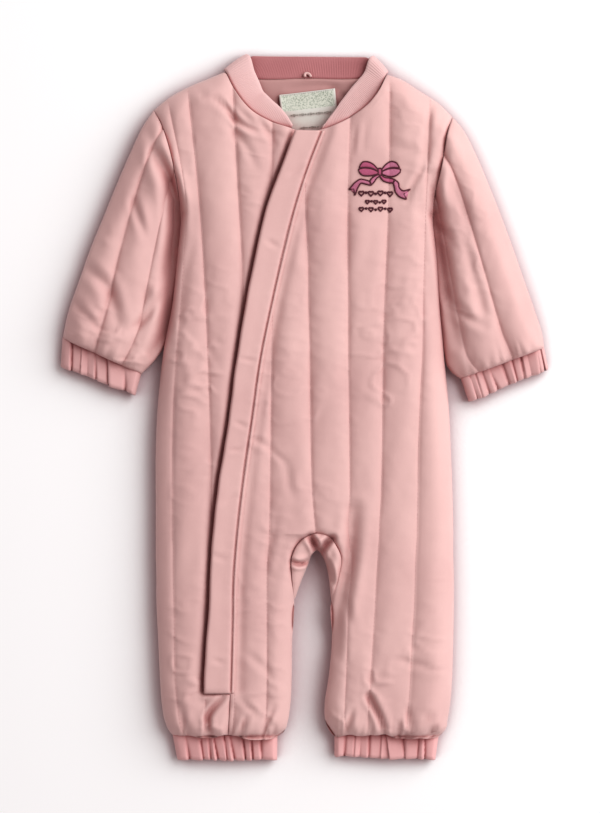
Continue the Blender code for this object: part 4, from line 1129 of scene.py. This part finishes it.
def build_collar(outside, inside):
    """The rib band, swept from its seam to its free edge, with a rib every RIB_PITCH."""
    seams, edges = collar_frame()
    far = reached(seams)
    length = far[-1]
    steps = int(length / RIB_PITCH) * 4
    at = np.linspace(0, length, steps + 1)
    seam = curve(far, seams, at)
    edge = curve(far, edges, at)
    middle = (seam + edge) / 2
    ahead = np.gradient(middle, axis=0)
    outward = np.cross(edge - seam, ahead)
    outward = outward / np.linalg.norm(outward, axis=1)[:, None]
    wave = 0.5 + 0.5 * np.cos(2 * math.pi * at / RIB_PITCH)
    across = np.linspace(0, 1, COLLAR_COLUMNS)
    dome = 1 - np.abs(2 * across - 1) ** 2.6
    sections = []
    for k in range(steps + 1):
        line = seam[k] + (edge[k] - seam[k]) * across[:, None]
        half = COLLAR_THICKNESS / 2
        fade = np.sin(math.pi * np.clip(across * 0.96 + 0.02, 0, 1)) ** 0.35
        lift = 0.62 * half + 0.62 * dome * half + RIB_HEIGHT * (wave[k] - 1) * fade
        drop = 0.62 * half + 0.5 * dome * half + RIB_HEIGHT * (wave[k] - 1) * fade
        upper = line + outward[k] * lift[:, None]
        lower = line - outward[k] * drop[:, None]
        tip = edge[k] + (edge[k] - seam[k]) / np.linalg.norm(edge[k] - seam[k]) * 0.6
        sections.append(np.vstack([upper, tip[None], lower[::-1]]))
    verts, faces = loft(sections)
    obj = add_piece("collar_rib", verts, faces, "collar", "rib", outside)
    count = len(sections[0])
    # The band's underside takes the darker copy of the rib knit, painted shade for its shaded inner face.
    underside = [COLLAR_COLUMNS + 1 <= i % count <= count - 2 for i in range(steps * count)]
    add_look(obj, inside, underside + [False, False])
    return obj


# Flap, zip, label, loop.


def flap_base(y, share):
    """The flap's underside level, smooth along its length, with a few lifts."""
    seam = zip_x(y, 1)
    plan = columns(seam + share * (zip_x(y, 2) - seam), y)
    sway = 0.5 * noise(columns(y, y * 0), (38, 9), 81) * share
    return front_base(plan) + FLAP_BED + sway


def build_flap(look):
    """The flap and, as one piece with it, the narrow stitched ridge along its seam."""
    top_y = ZIP_ROWS[0][0]
    low_y = ZIP_ROWS[-1][0]
    rows = np.linspace(top_y + 1.0, low_y, FLAP_ROWS)
    seam = zip_x(rows, 1) + np.maximum(rows - top_y, 0) * 0.39
    waver = 0.5 * noise(columns(rows, rows * 0), (23, 9), 85)
    free = zip_x(rows, 2) + waver + np.maximum(rows - top_y, 0) * 0.39
    ridge = np.array(FLAP_RIDGE)
    flat = np.array(FLAP_RISE)
    x = np.hstack([seam[:, None] + ridge[:, 0], seam[:, None] + flat[:, 0] * (free - seam)[:, None]])
    y = np.repeat(rows[:, None], x.shape[1], axis=1)
    plan = columns(x.ravel(), y.ravel())
    share = np.tile(np.concatenate([ridge[:, 0] * 0, flat[:, 0]]), len(rows))
    off_seam = plan[:, 0] - np.repeat(seam, x.shape[1])
    on_front = eased((off_seam + 1.5) / 3.0)
    bed = flap_base(plan[:, 1], share) * (1 - on_front) + front_surface(plan) * on_front
    ends = eased((plan[:, 1] - low_y + 1) / 5) * 0.6 + 0.4
    rise = np.tile(np.concatenate([ridge[:, 1], flat[:, 1]]), len(rows))
    top = bed + rise * ends + creases(plan, FLAP_CREASES) + 0.14 * noise(plan, (9, 12), 87) * (off_seam < 0)
    puckers = noise(plan, (30, 2.6), 88) * valley(off_seam, 0.22, 5)
    top = (top + puckers).reshape(x.shape)
    thick = np.concatenate([np.full(len(ridge), 1.0), np.where(flat[:, 0] < 0.5, 1.2, 1.7)])
    sections = []
    for xs, ys, tops in zip(x, y, top):
        upper = columns(xs, ys, tops)
        lip = [xs[-1] - 0.9, ys[-1], tops[-1] - thick[-1] * 0.5]
        sections.append(np.vstack([upper, [lip], columns(xs, ys, tops - thick)[::-1]]))
    verts, faces = loft(sections)
    return add_piece("flap_cloth", verts, faces, "flap", "shell", look)


def build_zip(tape_look, teeth_look):
    """The tape, and teeth that sit on it by turns left and right."""
    sections = []
    for y in np.linspace(224.0, -231.0, TAPE_ROWS):
        ys = np.full(6, y)
        offsets = np.array([-ZIP_HALF, -1.6, 1.6, ZIP_HALF, ZIP_HALF, -ZIP_HALF]) - ZIP_INSET
        plan = columns(zip_x(ys, 1) + offsets, ys)
        base = float(front_base(plan[1:2])[0])
        levels = base - CHAIN_DEPTH - np.array([0.2, 0, 0, 0.2, 0.9, 0.9])
        sections.append(columns(plan, levels))
    verts, faces = loft(sections)
    faces = [tuple(reversed(face)) for face in faces]
    tape = add_piece("zip_tape", verts, faces, "zip", "zip_tape", tape_look)
    verts = []
    faces = []
    box = np.array([(x, y, z) for x in (-1, 1) for y in (-1, 1) for z in (0, 1)], float)
    sides = ((0, 1, 3, 2), (4, 6, 7, 5), (0, 4, 5, 1), (2, 3, 7, 6), (0, 2, 6, 4), (1, 5, 7, 3))
    pitch = 1.5
    ys = np.arange(TEETH_FROM, TEETH_TO, pitch / 2)
    centres = zip_x(ys, 1) - ZIP_INSET
    bases = front_base(columns(centres, ys)) - CHAIN_DEPTH - 0.05
    for k, (x, y, z) in enumerate(zip(centres, ys, bases)):
        shift = 0.55 if k % 2 else -0.55
        faces += [tuple(len(verts) + i for i in side) for side in sides]
        verts += (box * (1.1, 0.33, 1.5) + (x + shift, y, z)).tolist()
    teeth = add_piece("zip_teeth", verts, faces, None, "zip_tape", teeth_look)
    return tape, teeth


def build_label(look, speckled, thread):
    """The neck label, with its printed band, rows of marks and stitched top edge."""
    steps = LABEL_STEPS
    corner = [np.array(point) for point in LABEL_CORNERS]
    rows = []
    for v in np.linspace(0, 1, steps + 1):
        left = corner[0] + (corner[3] - corner[0]) * v
        right = corner[1] + (corner[2] - corner[1]) * v
        rows += [left + (right - left) * u for u in np.linspace(0, 1, steps + 1)]
    plan = np.array(rows)
    width = steps + 1
    quads = [
        (a + width, a + width + 1, a + 1, a)
        for a in (j * width + i for j in range(steps) for i in range(steps))
    ]
    u = np.tile(np.linspace(0, 1, width), width)
    v = np.repeat(np.linspace(0, 1, width), width)
    lift = 0.9 + 1.5 * np.exp(-u * 9) + 0.7 * np.exp(-(1 - u) * 8) + 1.4 * np.sin(math.pi * u) * v * 0.6
    bottom = back_lining(plan) + creases(plan, BACK_CREASES) * 0.3 + lift
    verts, faces = slab(plan, quads, bottom + 0.5, bottom)
    obj = add_piece("label_cloth", verts, faces, "label", "label", look)
    printed = [1 <= i // steps % steps <= 10 and 1 <= i % steps < steps - 1 for i in range(len(faces))]
    add_look(obj, speckled, printed)
    marks = []
    for share, low, high in LABEL_MARKS:
        start = along((plan[steps * steps - steps], plan[0]), 1 - share)[0]
        end = along((plan[-1], plan[steps - 1]), 1 - share)[0]
        for k, at in enumerate(np.arange(low, high, 0.052)):
            ring = heart(start + (end - start) * at, 2.0 if k % 3 == 1 else 0.9)
            height = back_lining(ring) + np.max(lift) + 0.75
            marks.append(round_tube(columns(ring, height), 0.22, 5))
    top_edge = plan[1:steps] + np.array([0.1, -0.9])
    hem = columns(top_edge, bottom[1:steps] + 0.6)
    sewn = add_piece("label_stitches", *stitches([hem], 1.5, 1.0, 0.35), None, "label", thread)
    return obj, [sewn, add_piece("label_motif", *join_shapes(marks), None, "label", thread)]


def round_tube(line, radius, sides=8):
    """Points and faces of a round cord along a line of points."""
    line = np.asarray(line, float)
    ahead = np.gradient(line, axis=0)
    ahead = ahead / np.linalg.norm(ahead, axis=1)[:, None]
    up = np.array([0.0, 0.0, 1.0]) - ahead * ahead[:, 2:]
    up = up / np.maximum(np.linalg.norm(up, axis=1), 1e-6)[:, None]
    across = np.cross(ahead, up)
    turns = np.linspace(0, 2 * math.pi, sides, endpoint=False)
    sections = [
        point + radius * (np.cos(turns)[:, None] * aside + np.sin(turns)[:, None] * above)
        for point, aside, above in zip(line, across, up)
    ]
    verts, faces = loft(sections)
    return verts, [tuple(reversed(face)) for face in faces]


def build_loop(look):
    """The little hanger loop, a cord standing out of the back's neck seam."""
    turns = np.linspace(0, math.pi, 25)
    rise = np.sin(turns)
    x = 2.75 - 2.3 * np.cos(turns) - 0.9 * rise
    line = columns(x, 271.3 + 3.0 * rise**0.7, 12.9 - 1.2 * rise)
    return add_piece("hanger_loop_cord", *round_tube(line, 1.15), "hanger_loop", "shell", look)


# Stitching and embroidery.


def front_surface(plan):
    """The fronts' upper face with what the flap does to it."""
    plan = np.asarray(plan, float)
    return front_face(plan) + beside_zip(plan)


def stitches(runs, pitch=STITCH_PITCH, length=STITCH_LENGTH, width=STITCH_WIDTH):
    """One mesh of short threads along lines of points in space."""
    bead = [(-1, 0, 0)]
    bead += [(x, y, z) for x in (-0.55, 0.55) for y, z in ((0, 0.9), (1, 0), (0, -0.9), (-1, 0))]
    bead = np.array(bead + [(1, 0, 0)], float)
    shape = [(0, 1 + (i + 1) % 4, 1 + i) for i in range(4)]
    shape += [(1 + i, 1 + (i + 1) % 4, 5 + (i + 1) % 4, 5 + i) for i in range(4)]
    shape += [(9, 5 + i, 5 + (i + 1) % 4) for i in range(4)]
    verts = []
    faces = []
    for run in runs:
        run = np.asarray(run, float)
        far = reached(run)
        at = np.arange(pitch / 2, far[-1], pitch)
        if not len(at):
            continue
        centres = columns(*[np.interp(at, far, values) for values in run.T])
        ahead = columns(*[np.interp(at + 1, far, values) for values in run.T]) - centres
        ahead = ahead / np.maximum(np.linalg.norm(ahead, axis=1), 1e-6)[:, None]
        aside = columns(-ahead[:, 1], ahead[:, 0], 0 * at)
        for centre, along_it, beside in zip(centres, ahead, aside):
            start = len(verts)
            verts += (
                centre
                + bead[:, :1] * along_it * length / 2
                + bead[:, 1:2] * beside * width / 2
                + bead[:, 2:] * np.array([0, 0, width / 2])
            ).tolist()
            faces += [tuple(start + i for i in face) for face in shape]
    return verts, faces


def quilting_run(k, low, high):
    """Plan points down one quilting line."""
    y = np.arange(low, high, 1.5)
    x = quilting_lines(columns(np.where(k <= 4, -60.0, 60.0) + 0 * y, y))[:, k]
    return columns(x, y)


def build_stitching(look):
    """The quilting's stitches on both faces, and the two rows along the flap."""
    front = []
    under = []
    for k, top in enumerate(STITCHED_TO, 1):
        low = CROTCH_LOW if k == 5 else HEM_LOW
        plan = quilting_run(k, low, top - 1.5)
        under.append(columns(plan, back_face(plan) - 0.05))
        clear = flap_place(plan)[1] > 1.0
        height = front_surface(plan) + 0.05
        for piece in np.split(np.arange(len(plan)), np.flatnonzero(np.diff(clear.astype(int))) + 1):
            if clear[piece[0]] and len(piece) > 2:
                front.append(columns(plan[piece], height[piece]))
    y = np.arange(-232.0, 224.0, 1.5)
    for offset in (1.15, 3.9):
        plan = columns(zip_x(y, 1) + offset, y)
        front.append(columns(plan, front_surface(plan) + (0.7 if offset < 2 else -0.2)))
    made = [add_piece("stitching_front", *stitches(front), None, "shell", look)]
    made.append(add_piece("stitching_back", *stitches(under), None, "shell", look))
    return made


def on_front(plan, lift):
    """Points this far above the front, from a plan drawn round the bow's knot."""
    plan = np.asarray(plan, float) + BOW_AT
    return columns(plan, front_face(plan) + lift)


def satin(threads, notch, edge_a, edge_b):
    """A raised satin-stitched area between two edges, with a ridge for each thread."""
    steps = threads * 4
    shares = np.linspace(0, 1, steps + 1)
    across = np.linspace(0, 1, 9)
    reaches = [shares * (1 - notch * (1 - abs(2 * place - 1))) for place in across]
    columns = [
        along(edge_a, reach) * (1 - place) + along(edge_b, reach) * place
        for reach, place in zip(reaches, across)
    ]
    plan = np.stack(columns, axis=1).reshape(-1, 2)
    lift = 0.3 + 0.5 * (1 - np.abs(2 * across - 1) ** 3)
    thread = 0.09 * np.cos(2 * math.pi * threads * shares)
    top = on_front(plan, (lift[None] + thread[:, None]).ravel()).reshape(steps + 1, 9, 3)
    low = top - np.array([0, 0, 1.0])
    low[..., 2] = on_front(plan, -0.3)[:, 2].reshape(steps + 1, 9)
    return loft(np.concatenate([top, low[:, ::-1]], axis=1))


def join_shapes(shapes):
    """One mesh from several."""
    verts = []
    faces = []
    for points, polygons in shapes:
        start = len(verts)
        verts += np.asarray(points).tolist()
        faces += [tuple(start + i for i in polygon) for polygon in polygons]
    return verts, faces


def heart(centre, size):
    """The outline of a heart about this wide."""
    turns = np.linspace(0, 2 * math.pi, 25)
    x = 16 * np.sin(turns) ** 3
    y = 13 * np.cos(turns) - 5 * np.cos(2 * turns) - 2 * np.cos(3 * turns) - np.cos(4 * turns)
    return columns(x, y) / 32 * size + centre


def build_embroidery(looks):
    """The bow's satin areas in two tones, their dark outlines, and the rows of hearts."""
    made = []
    for tone in ("deep", "light"):
        areas = join_shapes([satin(*area) for name, *area in BOW_AREAS if name == tone])
        made.append(add_piece("embroidery_" + tone, *areas, None, "shell", looks["thread_" + tone]))
    lines = []
    for _, _, notch, a, b in BOW_AREAS:
        end = (along(a, 1 - notch) + along(b, 1 - notch)) / 2
        ring = np.vstack([smooth(a, 0.6), end.reshape(1, 2), smooth(b, 0.6)[::-1]])
        ring = np.vstack([ring, ring[:1]])
        lines.append(round_tube(on_front(ring, 0.5), 0.62, 6))
    for y, spacing, size, count in HEART_ROWS:
        for k in range(count):
            centre = np.array([(k - (count - 1) / 2) * spacing - 3.4, y + 0.5 * math.sin(1.7 * k)])
            ring = heart(centre, size * 0.32 if k % 2 else size)
            lines.append(round_tube(on_front(ring, 0.32), 0.64, 6))
    made.append(add_piece("embroidery_outline", *join_shapes(lines), None, "shell", looks["thread_dark"]))
    return made


# Materials.


def new_material(name, roughness, sheen=0.0):
    """A material, its nodes and its shader, whose colour is still to be linked."""
    made = bpy.data.materials.new(name)
    made.use_nodes = True
    shader = made.node_tree.nodes["Principled BSDF"]
    shader.inputs["Roughness"].default_value = roughness
    shader.inputs["Specular IOR Level"].default_value = CLOTH_SPECULAR
    shader.inputs["Sheen Weight"].default_value = sheen
    shader.inputs["Sheen Roughness"].default_value = SHEEN_ROUGHNESS
    return made, made.node_tree, shader


def node(tree, kind, output, *inputs, **named):
    """One output of a new node. Its inputs come in order or by name, as values or outputs to link."""
    made = tree.nodes.new("ShaderNode" + kind)
    for name in [name for name in named if name not in made.inputs]:
        setattr(made, name, named.pop(name))
    for name, value in [*enumerate(inputs), *named.items()]:
        if isinstance(value, bpy.types.NodeSocket):
            tree.links.new(value, made.inputs[name])
        else:
            made.inputs[name].default_value = value
    return made.outputs[output]


def ramp(tree, fac, low, high, dark, light):
    """A colour between two, as fac goes from low to high."""
    made = tree.nodes.new("ShaderNodeValToRGB")
    for element, position, colour in zip(made.color_ramp.elements, (low, high), (dark, light)):
        element.position = position
        element.color = (*colour, 1)
    tree.links.new(fac, made.inputs["Fac"])
    return made.outputs["Color"]


def painted_occlusion_shade(tree, colour, reach=PAINTED_SHADE_REACH, open_at=0.88, closed_at=0.4, deep=PAINTED_SHADE_COLOUR):
    """Painted shade: the colour, redder and darker where cloth is close in front of it, standing in for the
    shade and pink bounce light in folds and seams.
    """
    openness = node(tree, "AmbientOcclusion", "AO", Distance=reach, samples=6)
    closed = node(tree, "MapRange", "Result", openness, open_at, closed_at)
    return node(tree, "MixRGB", "Color", closed, colour, deep, blend_type="MULTIPLY")


def cloth(name, dark, light, pitch, roughness=0.86, sheen=0.25, bump=0.5):
    """Plain woven cloth: warp and weft at this pitch in mm, fibre fuzz and a slow change of tone."""
    made, tree, shader = new_material(name, roughness, sheen)
    place = node(tree, "TexCoord", "Object")
    slow = node(tree, "TexNoise", "Fac", place, Scale=14.0, Detail=3.0)
    fuzz = node(tree, "TexNoise", "Fac", place, Scale=900.0, Detail=3.0, Roughness=0.7)
    wave = {"Scale": WAVE_SCALE / (pitch * MM), "Distortion": 1.2, "Detail": 1.0}
    warp = node(tree, "TexWave", "Fac", place, bands_direction="X", **wave)
    weft = node(tree, "TexWave", "Fac", place, bands_direction="Y", **wave)
    weave = node(tree, "Math", "Value", warp, weft, operation="MAXIMUM")
    tone = node(tree, "Math", "Value", weave, WEAVE_SHARE, slow, operation="MULTIPLY_ADD")
    grain = node(tree, "Math", "Value", fuzz, FUZZ_SHARE, tone, operation="MULTIPLY_ADD")
    # Painted shade: the cloth's colour darkens and reddens in folds and seams, where other cloth is close.
    colour = painted_occlusion_shade(tree, ramp(tree, grain, 0.45, 1.05, dark, light))
    height = node(tree, "Math", "Value", weave, fuzz, operation="ADD")
    normal = node(tree, "Bump", "Normal", Strength=bump, Distance=0.00012, Height=height)
    tree.links.new(colour, shader.inputs["Base Color"])
    tree.links.new(normal, shader.inputs["Normal"])
    return made


def speckle(name, ground, spot):
    """A fine scatter of printed dots."""
    made, tree, shader = new_material(name, 0.6, 0.1)
    place = node(tree, "TexCoord", "Object")
    dots = node(tree, "TexVoronoi", "Distance", place, Scale=900.0, Randomness=1.0)
    tree.links.new(ramp(tree, dots, 0.28, 0.46, spot, ground), shader.inputs["Base Color"])
    return made


# Camera, light and floor.


def build_stage():
    """Soft sky light, one large lamp, paper under the suit, and the camera above."""
    world = bpy.data.worlds.new("studio")
    bpy.context.scene.world = world
    world.use_nodes = True
    sky = world.node_tree.nodes["Background"]
    sky.inputs["Color"].default_value = (1.0, 0.84, 0.85, 1)
    sky.inputs["Strength"].default_value = SKY_STRENGTH
    bpy.context.scene.view_settings.view_transform = "Standard"

    mesh = bpy.data.meshes.new("floor")
    signs = ((-1, -1), (1, -1), (1, 1), (-1, 1))
    corners = [(x * FLOOR_REACH, y * FLOOR_REACH, FLOOR_LEVEL) for x, y in signs]
    mesh.from_pydata(corners, [], [(0, 1, 2, 3)])
    made, tree, shader = new_material("floor_paper", 0.9)
    grain = node(tree, "TexNoise", "Fac", Scale=6.0)
    colour = ramp(tree, grain, 0.3, 0.7, (0.93, 0.94, 0.94), (0.94, 0.95, 0.95))
    # Painted shadow: the paper turns darker and mauve near the cloth, most of all in the gap between the
    # legs.
    shaded = painted_occlusion_shade(tree, colour, FLOOR_SHADE_REACH, 0.8, 0.55, FLOOR_SHADE)
    tree.links.new(shaded, shader.inputs["Base Color"])
    mesh.materials.append(made)
    floor = add_object("floor", mesh)

    key = bpy.data.lights.new("key", "AREA")
    key.energy = KEY_POWER
    key.size = KEY_SIZE
    key.color = (0.975, 1.0, 1.0)
    lamp = add_object("key", key)
    lamp.location = KEY_AT
    lamp.rotation_euler = Vector(KEY_AT).to_track_quat("Z", "Y").to_euler()

    camera = bpy.data.cameras.new("camera")
    camera.sensor_width = 36.0
    camera.lens = CAMERA_LENS
    camera.clip_end = 20.0
    eye = add_object("camera", camera)
    eye.location = CAMERA_AT
    bpy.context.scene.camera = eye


def build():
    """Every piece, and the look of the zip's slider."""
    looks = {name: cloth(name, *values) for name, values in CLOTHS.items()}
    shell = looks["shell_cotton"]
    build_stage()
    # The linings take a darker copy of the shell cotton, painted shade inside the neck opening.
    front_left, front_right = build_fronts(shell, looks["lining_cotton_painted_shade"])
    back = build_back(shell, looks["lining_cotton_painted_shade"])
    for side, cut, armhole, sign, area in (
        ("right", RIGHT_SLEEVE, RIGHT_ARMHOLE, -1, 0.0272),
        ("left", LEFT_SLEEVE, LEFT_ARMHOLE, 1, 0.0256),
    ):
        sleeve = build_sleeve(side, cut, armhole, sign, shell)
    cotton = looks["wrist_cuff_cotton"]
    for seed, (side, cut) in enumerate((("right", RIGHT_SLEEVE), ("left", LEFT_SLEEVE))):
        seam = (cut["inner"][-1], cut["outer"][-1])
        cuff = build_cuff("cuff_wrist_" + side, seam, cut["hem"], WRIST_GATHERS[side], 5 + seed, cotton)
    # The ankle cuffs take the lighter copy of the cuff cotton, painted light.
    cotton = looks["ankle_cuff_cotton_painted_light"]
    for seed, (side, ankle) in enumerate(ANKLES.items()):
        cuff = build_cuff("cuff_ankle_" + side, ankle[:2], ankle[2:], ANKLE_GATHER, 15 + seed, cotton)
    build_gusset(shell)
    collar = build_collar(looks["rib_knit"], looks["rib_knit_painted_shade"])
    loop = build_loop(shell)
    build_flap(shell)
    zip_tape, zip_teeth = build_zip(looks["zip_tape"], looks["zip_teeth"])
    spots = speckle("label_print", (0.60, 0.62, 0.53), (0.20, 0.25, 0.18))
    label, label_trim = build_label(looks["label_satin"], spots, looks["label_thread"])
    front_stitching, back_stitching = build_stitching(looks["quilting_thread"])
    trim = [front_stitching] + build_embroidery(looks)
    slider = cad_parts["zip_slider"]
    slider.material_slots[0].link = "OBJECT"
    slider.material_slots[0].material = looks["zip_teeth"]


build()
